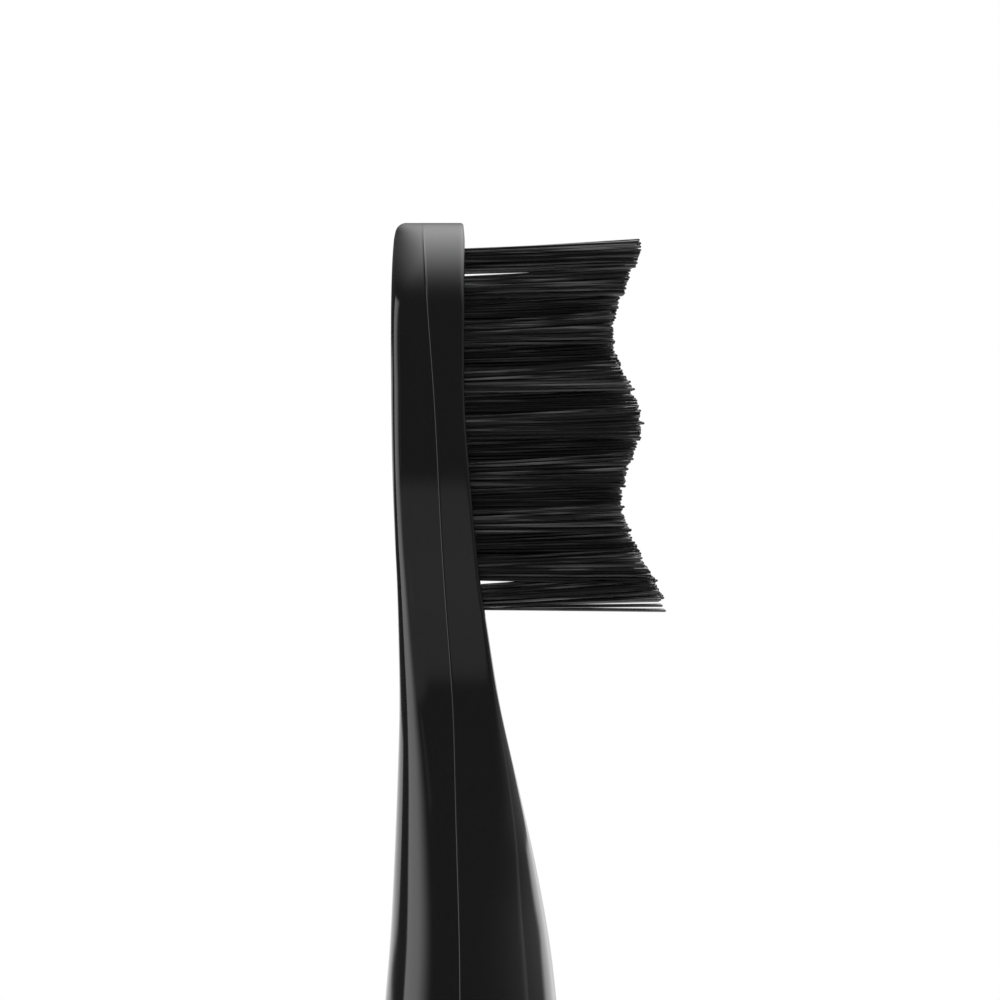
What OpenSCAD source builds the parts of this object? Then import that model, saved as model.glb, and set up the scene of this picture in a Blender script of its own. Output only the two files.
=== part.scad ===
// Sonic electric toothbrush standing on its inductive charger.
// Origin: centre of the charger's footprint, on the table.
// +Z is up, and +X is the way that the bristles and the button face.

/* [Charger] */
// Outer diameter of the charger
charger_d = 64; // [60:1:80]
// Height of the charger's rim above the table
charger_h = 15; // [14.5:0.5:20]
// Wall of the charger's shell
charger_wall = 1.8; // [1.4:0.1:2.2]
// How far the handle sinks below the rim
well_depth = 2.6; // [2:0.1:3.4]
// Diameter of the post that reaches into the handle
post_d = 9.6; // [8:0.1:11.6]
// Height of the post above the bottom of the well
post_h = 10; // [8:0.5:12]
// Diameter of the ferrite rod inside the post
ferrite_d = 4.6; // [3:0.2:5]
// Width of the rubber ring that the charger stands on
foot_w = 4; // [2.5:0.5:5]
// How far the rubber ring stands out below the base
foot_h = 0.8; // [0.5:0.1:1.2]

/* [Handle] */
// Length of the handle, from its bottom cap to the top of its collar
handle_len = 170; // [140:1:205]
// Largest diameter of the handle
handle_d = 26.8; // [26:0.1:33]
// Diameter of the handle at its foot
foot_d = 26.4; // [26:0.1:31]
// Diameter of the handle where its shoulder begins
shoulder_d = 23; // [22:0.1:26]
// Height of the handle's shoulder
shoulder_h = 24; // [20:0.5:28]
// Wall of the handle's housing
handle_wall = 1.7; // [1.4:0.1:2]
// Height of the metal collar on top of the handle
collar_h = 2.4; // [1.6:0.2:4]
// Diameter of the power button
button_d = 9.9; // [8:0.1:11.8]
// Distance from the handle's top down to the middle of the button
button_drop = 54; // [50:1:60]
// How far the button can be pressed
button_travel = 0.35; // [0.2:0.05:0.5]
// Length of the indicator window
window_len = 20; // [14:1:24]
// Width of the indicator window
window_w = 2.6; // [2:0.1:3.2]
// Number of indicator lights behind the window
led_count = 5; // [3:1:6]

/* [Battery and board] */
// Diameter of the battery cell
cell_d = 14; // [11.6:0.2:14]
// Length of the battery cell
cell_len = 49; // [40:1:52]
// Thickness of the circuit board
board_t = 1; // [0.8:0.1:1.2]
// Width of the circuit board
board_w = 14; // [12:0.5:15]

/* [Drive] */
// Diameter of the steel drive shaft
shaft_d = 4; // [3.2:0.1:4.8]
// How far the shaft stands out above the handle
shaft_reach = 22; // [18:0.5:22]
// Diameter of the motor
motor_d = 16.8; // [15.8:0.1:17.6]
// Length of the motor
motor_len = 26; // [22:0.5:30]
// Gap between the rotor's magnets and the stator
rotor_gap = 0.4; // [0.3:0.05:0.6]

/* [Brush head] */
// Length of the brush head, from its base to its tip
head_len = 76; // [72:0.5:92]
// Width of the head that carries the bristles
head_w = 11.4; // [10.8:0.1:13.8]
// Diameter of the brush head's base
base_d = 15.2; // [14.4:0.2:18.4]
// Height of the loose ring at the brush head's base
ring_h = 2.2; // [1.6:0.1:3]
// Free length of the bristles at the tip of the head
bristle_len = 11.4; // [9:0.2:14]
// Diameter of one tuft of bristles
tuft_d = 1.52; // [1.2:0.02:1.6]
// Distance between the rows of tufts
row_pitch = 1.5; // [1.4:0.02:1.52]
// Distance between a row's tufts
column_pitch = 3.7; // [3.2:0.1:4]
// How steeply the tufts lean towards the tip
tuft_lean = 2.5; // [0:0.5:5]
// Depth of the holes that hold the tufts
hole_depth = 3; // [2.4:0.1:3.4]

/* [Fits] */
// Radial gap between pieces that are fixed together
fit = 0.05; // [0.03:0.01:0.1]
// Radial gap between the shaft and its bearings
running = 0.06; // [0.03:0.01:0.1]
// Gap between pieces that move past each other
gap = 0.3; // [0.2:0.05:0.4]

/* [Hidden] */
$fn = 64;
TUFT_ROWS = 15;
TUFT_NODES = [for (i = [1 : TUFT_ROWS]) str("tuft_row_", i)];

// Levels and radii of the charger
charger_r = charger_d / 2;
post_r = post_d / 2;
post_wall = 1;
rim_round = 3.5;
rim_drop = 0.8;
split_z = charger_h - rim_round - 0.3;
seam = 0.15;
lip_h = 1.6;
lip_t = 1.2;
foot_set = 0.6;
well_floor = charger_h - well_depth;
post_top = well_floor + post_h;
base_top = foot_h + 1.8;
board_z = base_top + 1.8;
charger_board_t = 1.2;
charger_board_r = charger_r - 16.5;
board_tab_w = 12;
boss_r = 2.6;
boss_ring = charger_r - 12.5;
boss_angles = [0, 120, 240];
screw_r = 0.9;
screw_len = 6;
foot_r = charger_r - 6;
ferrite_r = ferrite_d / 2;
inlet_w = 8.9;
inlet_h = 3.3;
inlet_len = 7.3;
inlet_wall = 0.3;
inlet_z = board_z + charger_board_t + fit + inlet_h / 2;
inlet_x = -(charger_r - 0.5);

// Levels and radii of the handle, which stands in the charger's well
seat_gap = 0.2;
handle_z = well_floor + seat_gap;
handle_r = handle_d / 2;
shoulder_r = shoulder_d / 2;
handle_top = handle_z + handle_len;
housing_top = handle_len - collar_h;
collar_r = base_d / 2 + 0.6;
crown_t = 3;
well_gap = 0.7;
cap_flange = 2;
seal_t = 0.5;
cap_edge = 1.2;
plug_top = 10;
plug_wall = 1.9;
recess_r = post_r + 0.5;
recess_depth = post_h + 1;
recess_wall = 1;
coil_len = 6;

// Outline of the handle: [height above its bottom, radius]
handle_outline = [
    [0, foot_d / 2],
    [handle_len * 0.2, handle_r],
    [handle_len * 0.55, handle_r * 0.75 + shoulder_r * 0.25],
    [handle_len - shoulder_h - 16, handle_r * 0.4 + shoulder_r * 0.6],
    [handle_len - shoulder_h, shoulder_r],
    [handle_len - shoulder_h / 2, shoulder_r * 0.62 + collar_r * 0.4],
    [housing_top, collar_r + 0.3]
];

// The stack inside the handle, as heights above its bottom
motor_r = motor_d / 2;
shaft_r = shaft_d / 2;
motor_top = handle_len - 20;
motor_z = motor_top - motor_len;
plate_t = 1.2;
can_wall = 0.6;
bearing_wall = 1;
bearing_len = 3.2;
damper_t = 2.6;
rear_damper_t = 4;
plug_r = inner_r(0) - 0.1;
chassis_z = recess_depth + recess_wall + 5.4;
chassis_t = 1.2;
chassis_top = motor_z - rear_damper_t;
bulkhead_t = 1.6;
cell_r = cell_d / 2;
cell_z = chassis_z + 3;
cell_top = cell_z + cell_len;
cell_x = -(inner_r(0) - cell_r - gap);
plate_x = cell_x + cell_r + 0.2;
plate_w = 15;
board_x = plate_x + chassis_t + 0.4;
board_front = board_x + board_t;
board_low = chassis_z + 2.6;
board_high = chassis_top - 2.6;
button_z = handle_len - button_drop;
button_r = button_d / 2;
window_z = button_z - button_r - window_len / 2 - 7;
window_back = board_front + 1.6;
led_pitch = window_len / (led_count + 0.4);
switch_w = 6;
switch_t = 1.6;
plunger_r = 1.7;
plunger_rise = 0.5;
flange_back = board_front + switch_t + plunger_rise + 0.2;
flange_t = 0.8;
flange_r = button_r + 1.05;
button_seal_x = flange_back + flange_t + gap;
tab_t = 0.3;
tab_w = 4;
tab_levels = [cell_z - fit - tab_t, cell_top + fit];
lead_t = 0.3;
lead_w = 1.6;
coil_lead_y = 3;
motor_lead_y = 4;

// Stator and rotor
stator_z = motor_z + 5.4;
stator_len = motor_len - 11;
iron_r = motor_r - can_wall - fit;
iron_t = 0.85;
tooth_half_angle = 30;
coil_half_angle = 48;
magnet_t = 1.2;
magnet_half_angle = 55;
rotor_r = shaft_r + 1.7;
magnet_r = rotor_r + fit + magnet_t;
tooth_r = magnet_r + rotor_gap;

// Levels of the brush head, which stands over the handle's collar
head_gap = 0.8;
head_z = handle_top + head_gap;
tip_z = head_z + head_len;
base_r = base_d / 2;
neck_start = 26;
tip_round = 5.8;
socket_r = 4.15;
socket_z = ring_h + 3.9;
socket_top = shaft_reach + 3;
ring_spigot_r = base_r - 1.35;
clip_z = socket_z + 6;
clip_h = 5.6;
clip_t = 0.45;
flat_x = shaft_r * 0.75;
flat_len = 15;

// How deep below the tip the neck's stations lie, as shares of the way from neck_start to the base
function neck(share) = neck_start + (head_len - neck_start) * share;

// Outline of the brush head:
// [depth below the tip, back x, front x, half width, roundness of the back, roundness of the front]
head_outline = [
    [0, -4.75, -0.5, head_w / 2, 3, 12],
    [1.2, -4.98, -0.4, head_w / 2, 3.2, 12],
    [5, -5.1, -0.39, head_w / 2, 7, 12],
    [11.4, -5.1, -0.37, head_w / 2, 10, 12],
    [15.9, -5.04, -0.08, head_w * 0.49, 10, 12],
    [20.4, -4.88, 0.32, head_w * 0.44, 10, 11],
    [23, -4.76, 0.6, head_w * 0.395, 10, 10],
    [neck_start, -4.68, 1.05, head_w * 0.345, 8, 8],
    [neck(0.1), -4.62, 1.86, head_w * 0.3, 4, 7],
    [neck(0.2), -4.76, 2.98, head_w * 0.32, 2.4, 4.5],
    [neck(0.3), -4.96, 4.1, head_w * 0.37, 2, 3],
    [neck(0.4), -5.22, 5.02, head_w * 0.43, 2, 2.2],
    [neck(0.48), -base_r * 0.73, base_r * 0.725, base_r * 0.705, 2, 2],
    [neck(0.64), -base_r * 0.81, base_r * 0.812, base_r * 0.805, 2, 2],
    [neck(0.82), -base_r * 0.905, base_r * 0.906, base_r * 0.905, 2, 2],
    [head_len, -base_r, base_r, base_r, 2, 2]
];

// Trim of the bristles: [depth below the tip, how far the tips stand beyond bristle_len]
trim_outline = [[-2, 0.4], [1, 0], [7.2, -2], [12.8, -0.2], [18.1, -1.45], [24.3, 1.2], [27, 1.9]];

// A smooth curve through a table's rows, read at depth d from column c
function slope(t, i, c) =
    let (a = max(i - 1, 0), b = min(i + 1, len(t) - 1)) (t[b][c] - t[a][c]) / (t[b][0] - t[a][0]);
function span(t, d, i = 0) = i >= len(t) - 2 || d < t[i + 1][0] ? i : span(t, d, i + 1);
function curve(t, d, c) =
    let (i = span(t, d), h = t[i + 1][0] - t[i][0], u = (d - t[i][0]) / h)
    t[i][c] * (2 * u ^ 3 - 3 * u ^ 2 + 1) + t[i + 1][c] * (3 * u ^ 2 - 2 * u ^ 3)
    + slope(t, i, c) * h * (u ^ 3 - 2 * u ^ 2 + u) + slope(t, i + 1, c) * h * (u ^ 3 - u ^ 2);

function handle_radius(z) = curve(handle_outline, z, 1);
function inner_r(z) = min(handle_outline[0][1], handle_radius(z)) - handle_wall;
function face_x(d) = curve(head_outline, d, 2);
function tip_share(d) = d < tip_round ? sqrt(1 - ((tip_round - d) / tip_round) ^ 2) : 1;
function half_width(d) = curve(head_outline, d, 3) * tip_share(d);
function trim_x(d) = face_x(0) + 0.1 + bristle_len + curve(trim_outline, d, 1);
function arc(x, z, r, from, to, n = 6) =
    [for (i = [0 : n]) let (a = from + (to - from) * i / n) [x + r * cos(a), z + r * sin(a)]];

// Tufts: the end rows stand alone, and the rows between them are staggered
function row_depth(i) = i == 0 ? 2.5 : i == TUFT_ROWS - 1 ? 6.1 + (TUFT_ROWS - 3) * row_pitch
    : 4.3 + (i - 1) * row_pitch;
function row_sides(i) = let (d = row_depth(i), side = min(column_pitch, half_width(d) - 1.6))
    i > 0 && i < TUFT_ROWS - 1 && i % 2 == 0 ? [-column_pitch / 2, column_pitch / 2] : [-side, 0, side];

// ---------- shared shapes ----------

module ring(outer, inner, h) {
    difference() {
        cylinder(r = outer, h = h);
        translate([0, 0, -1]) cylinder(r = inner, h = h + 2);
    }
}

// A sector of a ring, centred on +Y
module sector(outer, inner, h, half_angle) {
    rotate([0, 0, 90 - half_angle])
        rotate_extrude(angle = 2 * half_angle)
            translate([inner, 0]) square([outer - inner, h]);
}

// A bar along +X, from x = from to x = to, whose section has two round ends
module slot_bar(from, to, across, tall) {
    r = min(across, tall) / 2;
    shift = [across / 2 - r, tall / 2 - r];
    half = across > tall ? [shift[0], r] : [r, shift[1]];
    for (s = [-1, 1]) translate([0, s * shift[0], s * shift[1]]) x_bar(r, from, to);
    translate([from, -half[0], -half[1]]) cube([to - from, 2 * half[0], 2 * half[1]]);
}

// A round bar along +X
module x_bar(r, from, to) {
    translate([from, 0, 0]) rotate([0, 90, 0]) cylinder(r = r, h = to - from);
}

// A flat lead in the X-Z plane, width wide about y, through the points [x, z]
module ribbon(path, y, width) {
    edge = [for (i = [len(path) - 1 : -1 : 0]) path[i] + [lead_t, 0]];
    translate([0, y + width / 2, 0]) rotate([90, 0, 0]) linear_extrude(width) polygon(concat(path, edge));
}

// Everything inside the handle's outline, shrunk by inset, between two heights
module handle_body(low, high, inset = 0, bore = false) {
    steps = 36;
    heights = [for (i = [0 : steps]) low + (high - low) * sin(90 * i / steps)];
    rotate_extrude()
        polygon(concat(
            [[0, low]],
            [for (z = heights) [(bore ? inner_r(z) : handle_radius(z)) - inset, z]],
            [[0, high]]
        ));
}

// ---------- charger ----------

// The deck with its well and hollow post: its lip sits inside the base's wall, and its bosses take the screws
module charger_top() {
    well_r = handle_outline[0][1] + well_gap;
    ceiling = charger_h - rim_drop - charger_wall;
    lip_out = charger_r - charger_wall - 0.1;
    color("#1b1b1d") difference() {
        union() {
            rotate_extrude()
                polygon(concat(
                    [[lip_out - lip_t, split_z - lip_h], [lip_out, split_z - lip_h]],
                    [[lip_out, split_z + seam], [charger_r, split_z + seam]],
                    arc(charger_r - rim_round, charger_h - rim_round, rim_round, 0, 90),
                    arc(well_r + 0.6, charger_h - rim_drop - 0.6, 0.6, 90, 180, 3),
                    [[well_r, well_floor], [post_r, well_floor]],
                    arc(post_r - post_wall, post_top - post_wall, post_wall, 0, 90, 4),
                    [[0, post_top], [0, post_top - post_wall], [post_r - post_wall, post_top - post_wall]],
                    [[post_r - post_wall, well_floor - charger_wall]],
                    [[well_r + charger_wall, well_floor - charger_wall], [well_r + charger_wall, ceiling]],
                    [[charger_r - rim_round, charger_h - charger_wall], [lip_out - lip_t, split_z]]
                ));
            for (a = boss_angles) rotate([0, 0, a]) translate([boss_ring, 0, base_top + fit])
                cylinder(r = boss_r, h = ceiling + 0.4 - base_top);
        }
        for (a = boss_angles) rotate([0, 0, a]) translate([boss_ring, 0, base_top - 1])
            cylinder(r = screw_r + fit, h = screw_len + 1);
    }
}

// The floor and the side wall, with the posts that carry the board and the slot for the inlet
module charger_base() {
    edge = 0.6;
    side = charger_r - charger_wall;
    color("#202022") difference() {
        union() {
            rotate_extrude()
                polygon([
                    [0, foot_h], [charger_r - edge, foot_h], [charger_r, foot_h + edge], [charger_r, split_z],
                    [side, split_z], [side, base_top], [0, base_top]
                ]);
            for (a = [60, 180, 300]) rotate([0, 0, a]) translate([charger_board_r - 3.5, 0, base_top - 0.5])
                cylinder(r = 1.6, h = board_z - base_top + 0.5 - fit);
        }
        translate([0, 0, foot_h - 1]) ring(foot_r + fit, foot_r - foot_w - fit, 1 + foot_set + fit);
        translate([0, 0, inlet_z]) slot_bar(-charger_r - 1, 4 - side, inlet_w + 0.7, inlet_h + 0.7);
        for (a = boss_angles) rotate([0, 0, a]) translate([boss_ring, 0, 0]) {
            cylinder(r = screw_r + 0.2, h = base_top + 1);
            cylinder(r = screw_r + 1.1, h = foot_h + 0.9);
        }
    }
}

module rubber_foot() {
    edge = 0.3;
    color("#151516") rotate_extrude()
        polygon([
            [foot_r - foot_w, edge], [foot_r - foot_w + edge, 0], [foot_r - edge, 0], [foot_r, edge],
            [foot_r, foot_h + foot_set], [foot_r - foot_w, foot_h + foot_set]
        ]);
}

module charger_screws() {
    color("#9a9c9f") for (a = boss_angles) rotate([0, 0, a]) translate([boss_ring, 0, foot_h])
        difference() {
            union() {
                translate([0, 0, 0.1]) cylinder(r = screw_r + 1, h = 0.8);
                translate([0, 0, 0.5]) cylinder(r = screw_r, h = screw_len);
            }
            for (turn = [0, 90]) rotate([0, 0, turn]) translate([-1.1, -0.18, -0.5]) cube([2.2, 0.36, 1.1]);
        }
}

// Each part on the charger's board: [x, y, its size along x and y, height, colour]
module charger_board() {
    parts = [
        [8, 4, [5, 5], 1.4, "#26262a"], [8, -7, [3.2, 3.2], 1.4, "#26262a"], [-9, -7, [4, 4], 1.4, "#26262a"],
        [12.2, 2, [2, 1.2], 0.9, "#c9c4b8"], [12.2, -2, [2, 1.2], 0.9, "#c9c4b8"]
    ];
    color("#1f5c3a") union() {
        translate([0, 0, board_z]) cylinder(r = charger_board_r, h = charger_board_t);
        translate([inlet_x + 2.4, -board_tab_w / 2, board_z])
            cube([-inlet_x - 2.4 - charger_board_r / 2, board_tab_w, charger_board_t]);
    }
    for (p = parts) color(p[4]) translate([p[0], p[1], board_z + charger_board_t + fit + p[3] / 2])
        cube([p[2][0], p[2][1], p[3]], center = true);
}

module primary_coil() {
    low = board_z + charger_board_t + 0.4;
    high = post_top - post_wall - 1.8;
    color("#b0622b") translate([0, 0, low]) ring(post_r - post_wall - 0.2, ferrite_r + fit, high - low);
}

module ferrite_rod() {
    low = board_z + charger_board_t + fit;
    color("#3a3b3e") translate([0, 0, low]) cylinder(r = ferrite_r, h = post_top - post_wall - 0.6 - low);
}

module inlet_shell() {
    color("#a9abae") translate([0, 0, inlet_z]) difference() {
        slot_bar(inlet_x, inlet_x + inlet_len, inlet_w, inlet_h);
        slot_bar(inlet_x - 1, inlet_x + inlet_len - 0.8, inlet_w - 2 * inlet_wall, inlet_h - 2 * inlet_wall);
    }
}

module inlet_tongue() {
    tongue_w = inlet_w - 2.2;
    color("#17171a") translate([inlet_x + 1, -tongue_w / 2, inlet_z - 0.35])
        cube([inlet_len - 1.8 - fit, tongue_w, 0.7]);
}

// ---------- handle ----------

module handle_housing() {
    low = cap_flange + seal_t + 2 * fit;
    crown = housing_top - crown_t;
    ledge = motor_top + damper_t + fit;
    color("#1d1d1f") translate([0, 0, handle_z]) difference() {
        handle_body(low, housing_top);
        difference() {
            handle_body(low - 1, crown, 0, true);
            translate([0, 0, ledge]) ring(handle_r, shaft_r + 4.8, 1.4);
        }
        translate([0, 0, crown - 1]) cylinder(r = shaft_r + 2.5, h = crown_t + 2);
        translate([0, 0, button_z]) x_bar(button_r + gap, board_front, handle_r + 2);
        translate([0, 0, button_z]) x_bar(flange_r + gap, board_front, button_seal_x + seal_t + fit);
        translate([0, 0, window_z]) slot_bar(board_front, handle_r + 2, window_w, window_len);
    }
}

module collar_ring() {
    edge = 0.5;
    color("#8c8e92") translate([0, 0, handle_z + housing_top + fit]) rotate_extrude()
        polygon(concat(
            [[shaft_r + 3.2, 0], [collar_r, 0]],
            arc(collar_r - edge, collar_h - edge - fit, edge, 0, 90, 4),
            [[shaft_r + 3.2, collar_h - fit]]
        ));
}

module shaft_seal() {
    crown = housing_top - crown_t;
    bore = shaft_r + 0.15;
    color("#161617") translate([0, 0, handle_z]) rotate_extrude()
        polygon([
            [bore, crown - 2], [shaft_r + 4, crown - 2], [shaft_r + 4, crown - fit],
            [shaft_r + 2.5 - fit, crown - fit], [shaft_r + 2.5 - fit, housing_top + 0.6],
            [shaft_r + 1.6, housing_top + 1.5], [bore, housing_top + 1.5]
        ]);
}

// The plug closes the housing, and the blind recess in its middle stands over the charger's post
module bottom_cap() {
    foot = handle_radius(0);
    color("#1d1d1f") translate([0, 0, handle_z]) rotate_extrude()
        polygon(concat(
            [[recess_r, 0]],
            arc(foot - cap_edge, cap_edge, cap_edge, -90, 0, 5),
            [[handle_radius(cap_flange), cap_flange], [plug_r, cap_flange]],
            [[plug_r, plug_top], [plug_r - plug_wall, plug_top], [plug_r - plug_wall, cap_flange]],
            [[recess_r + recess_wall, cap_flange], [recess_r + recess_wall, recess_depth + recess_wall]],
            [[0, recess_depth + recess_wall], [0, recess_depth], [recess_r, recess_depth]]
        ));
}

module cap_seal() {
    color("#2a2a2c") translate([0, 0, handle_z + cap_flange + fit])
        ring(handle_radius(cap_flange) - 0.25, plug_r + fit, seal_t);
}

module receiver_coil() {
    color("#b0622b") translate([0, 0, handle_z + cap_flange + 0.4])
        ring(plug_r - plug_wall - 0.2, recess_r + recess_wall + fit, coil_len);
}

// A bulkhead across the inside of the handle, cut off in front of x = front
module bulkhead(z, t, front) {
    r = inner_r(z + t) - gap;
    intersection() {
        translate([0, 0, z]) cylinder(r = r, h = t);
        translate([-handle_r, -handle_r, z - 1]) cube([handle_r + front, 2 * handle_r, t + 2]);
    }
}

module chassis() {
    front = plate_x + chassis_t;
    rib_low = cell_top + 3;
    color("#d9d8d2") translate([0, 0, handle_z]) difference() {
        union() {
            translate([plate_x, -plate_w / 2, chassis_z]) cube([chassis_t, plate_w, chassis_top - chassis_z]);
            bulkhead(chassis_z, 2, front);
            bulkhead(rib_low - bulkhead_t, bulkhead_t, front);
            bulkhead(chassis_top - bulkhead_t, bulkhead_t, board_front);
            for (y = [-6.2, 5]) translate([-6, y, rib_low - 0.5])
                cube([plate_x + 6.5, 1.2, chassis_top - rib_low]);
            for (z = [board_low + 8, board_high - 14], y = [-5.5, 5.5]) translate([0, y, z])
                x_bar(1, front - 0.5, board_x - fit);
        }
        translate([0, 0, chassis_top - bulkhead_t - 1]) cylinder(r = shaft_r + 1.8, h = bulkhead_t + 2);
        for (z = tab_levels) translate([plate_x - 1, -tab_w / 2 - 0.2, z - 0.3])
            cube([chassis_t + 2, tab_w + 0.4, tab_t + 0.6]);
    }
}

module battery_cell() {
    edge = 0.6;
    color("#2f6aa3") translate([cell_x, 0, handle_z + cell_z]) rotate_extrude()
        polygon([
            [0, 0], [cell_r - edge, 0], [cell_r, edge], [cell_r, cell_len - edge - 1],
            [cell_r - edge, cell_len - 1], [2.6, cell_len - 1], [2.6, cell_len], [0, cell_len]
        ]);
}

module battery_tabs() {
    color("#c3c5c8") translate([0, 0, handle_z]) for (z = tab_levels)
        translate([cell_x - 1.5, -tab_w / 2, z]) cube([board_x - fit - cell_x + 1.5, tab_w, tab_t]);
}

module circuit_board() {
    color("#1f5c3a") translate([board_x, -board_w / 2, handle_z + board_low])
        cube([board_t, board_w, board_high - board_low]);
}

// Each chip: [height above the board's lower end, y, width, height]
module board_chips() {
    chips = [[12, -2, 5, 5], [20, 3, 3, 2], [28, -3, 4, 6], [38, 2, 3, 3]];
    color("#222226") translate([board_front + fit, 0, handle_z + board_low])
        for (c = chips) translate([0, c[1] - c[2] / 2, c[0] - c[3] / 2]) cube([1.1, c[2], c[3]]);
}

module indicator_leds() {
    color("#eef2f0") translate([board_front + fit, 0, handle_z + window_z])
        for (i = [0 : led_count - 1])
            translate([0, -0.8, (i - (led_count - 1) / 2) * led_pitch - 0.4]) cube([0.8, 1.6, 0.8]);
}

module indicator_window() {
    color("#3c3d42") translate([0, 0, handle_z]) intersection() {
        translate([0, 0, window_z]) union() {
            slot_bar(window_back, handle_r + 2, window_w - 2 * fit, window_len - 2 * fit);
            slot_bar(window_back, window_back + 1, window_w + 1.6, window_len + 1.6);
        }
        handle_body(window_z - window_len, window_z + window_len, fit);
    }
}

module switch_body() {
    color("#2b2b2e") translate([0, 0, handle_z + button_z]) difference() {
        translate([board_front + fit, -switch_w / 2, -switch_w / 2])
            cube([switch_t - fit, switch_w, switch_w]);
        x_bar(plunger_r + 0.1, board_front + 0.6, board_front + switch_t + 1);
    }
}

// A flat ring behind the housing's pocket
module button_seal() {
    color("#2a2a2c") translate([0, 0, handle_z + button_z]) difference() {
        x_bar(flange_r + gap - fit, button_seal_x, button_seal_x + seal_t);
        x_bar(button_r + gap, button_seal_x - 1, button_seal_x + seal_t + 1);
    }
}

module motor_can() {
    color("#b4b6b9") translate([0, 0, handle_z + motor_z + plate_t + fit])
        ring(motor_r, motor_r - can_wall, motor_len - 2 * plate_t - 2 * fit);
}

module motor_plate(z) {
    color("#a2a4a8") translate([0, 0, handle_z + z])
        ring(motor_r, shaft_r + running + bearing_wall + fit, plate_t);
}

module motor_front_plate() {
    motor_plate(motor_top - plate_t);
}

module motor_rear_plate() {
    motor_plate(motor_z);
}

module bearing(z) {
    color("#b08d4a") translate([0, 0, handle_z + z])
        ring(shaft_r + running + bearing_wall, shaft_r + running, bearing_len);
}

module upper_bearing() {
    bearing(motor_top + 1 - bearing_len);
}

module lower_bearing() {
    bearing(motor_z - 1);
}

module stator_core() {
    color("#6d7076") translate([0, 0, handle_z + stator_z]) {
        ring(iron_r, iron_r - iron_t, stator_len);
        for (turn = [0, 180]) rotate([0, 0, turn])
            sector(iron_r - iron_t / 2, tooth_r, stator_len, tooth_half_angle);
    }
}

module stator_coils() {
    over = 1.8;
    color("#b0622b") translate([0, 0, handle_z + stator_z]) for (turn = [0, 180]) rotate([0, 0, turn])
        difference() {
            translate([0, 0, -over])
                sector(iron_r - iron_t - 0.1, tooth_r + 0.2, stator_len + 2 * over, coil_half_angle);
            translate([0, 0, -0.1]) sector(motor_r, 1, stator_len + 0.2, tooth_half_angle + 1.5);
        }
}

module front_damper() {
    color("#242426") translate([0, 0, handle_z + motor_top + fit])
        ring(motor_r - 0.4, shaft_r + 1.6, damper_t - fit);
}

module rear_damper() {
    color("#242426") translate([0, 0, handle_z + chassis_top + fit])
        ring(motor_r - 2.4, shaft_r + 1.9, rear_damper_t - 2 * fit);
}

// Two leads run from the receiver coil up to the board, and two from the board up to the motor
module flat_leads() {
    face = board_front + fit;
    coil_x = sqrt((plug_r - plug_wall - gap) ^ 2 - (coil_lead_y + lead_w / 2) ^ 2) - lead_t;
    color("#b5793a") translate([0, 0, handle_z]) for (side = [-1, 1]) {
        ribbon([
            [coil_x, cap_flange + 0.4 + coil_len + fit], [coil_x, plug_top],
            [face, board_low], [face, board_low + 4]
        ], side * coil_lead_y, lead_w);
        ribbon([
            [face, board_high - 5], [face, board_high + 1], [motor_r * 0.8, motor_z - fit]
        ], side * motor_lead_y, lead_w);
    }
}

// ---------- drive ----------

module drive_shaft() {
    low = motor_z - 4.4;
    top = handle_len + head_gap + shaft_reach;
    point = 0.6;
    color("#c9cbce") translate([0, 0, handle_z]) difference() {
        union() {
            translate([0, 0, low]) cylinder(r = shaft_r, h = top - point - low);
            translate([0, 0, top - point]) cylinder(r1 = shaft_r, r2 = shaft_r - point, h = point);
        }
        translate([flat_x, -shaft_r - 1, top - flat_len]) cube([shaft_r, 2 * shaft_r + 2, flat_len + 1]);
        translate([0, 0, motor_z - 2.4]) ring(shaft_r + 1, shaft_r - 0.4, 0.7);
    }
}

module rotor_core() {
    color("#6d7076") translate([0, 0, handle_z + stator_z]) ring(rotor_r, shaft_r + 0.02, stator_len);
}

module rotor_magnets() {
    color("#4a4c52") translate([0, 0, handle_z + stator_z + 0.4]) for (turn = [0, 180])
        rotate([0, 0, turn]) sector(magnet_r, rotor_r + fit, stator_len - 0.8, magnet_half_angle);
}

module shaft_circlip() {
    color("#8f9195") translate([0, 0, handle_z + motor_z - 2.3]) difference() {
        ring(shaft_r + 1.1, shaft_r - 0.35, 0.5);
        translate([0, -0.9, -1]) cube([shaft_r + 3, 1.8, 3]);
    }
}

// ---------- button ----------

module power_button() {
    skin = handle_radius(button_z) + 0.35;
    dome = 0.7;
    color("#242427") translate([0, 0, handle_z + button_z]) rotate([0, 90, 0]) rotate_extrude()
        polygon(concat(
            [[0, flange_back - 0.2 + fit], [plunger_r, flange_back - 0.2 + fit], [plunger_r, flange_back]],
            [[flange_r, flange_back], [flange_r, flange_back + flange_t], [button_r, flange_back + flange_t]],
            [for (q = [1 : -0.125 : 0]) [button_r * q, skin - dome * q ^ 2]]
        ));
}

module switch_plunger() {
    color("#e2ddd0") translate([0, 0, handle_z + button_z])
        x_bar(plunger_r, board_front + 0.6 + button_travel + 0.1, flange_back - 0.2);
}

// ---------- brush head ----------

// One ring of the head's skin, d below the tip: superellipse halves that meet at the widest point
function skin_ring(d, sides) =
    let (
        back = curve(head_outline, d, 1), front = face_x(d), side = half_width(d),
        mid = (back + front) / 2, deep = (front - back) / 2,
        n_back = curve(head_outline, d, 4), n_front = curve(head_outline, d, 5)
    )
    [for (i = [0 : sides - 1])
        let (a = 360 * i / sides, n = cos(a) < 0 ? n_back : n_front)
        [
            mid + deep * sign(cos(a)) * abs(cos(a)) ^ (2 / n),
            side * sign(sin(a)) * abs(sin(a)) ^ (2 / n),
            tip_z - d
        ]];

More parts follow.
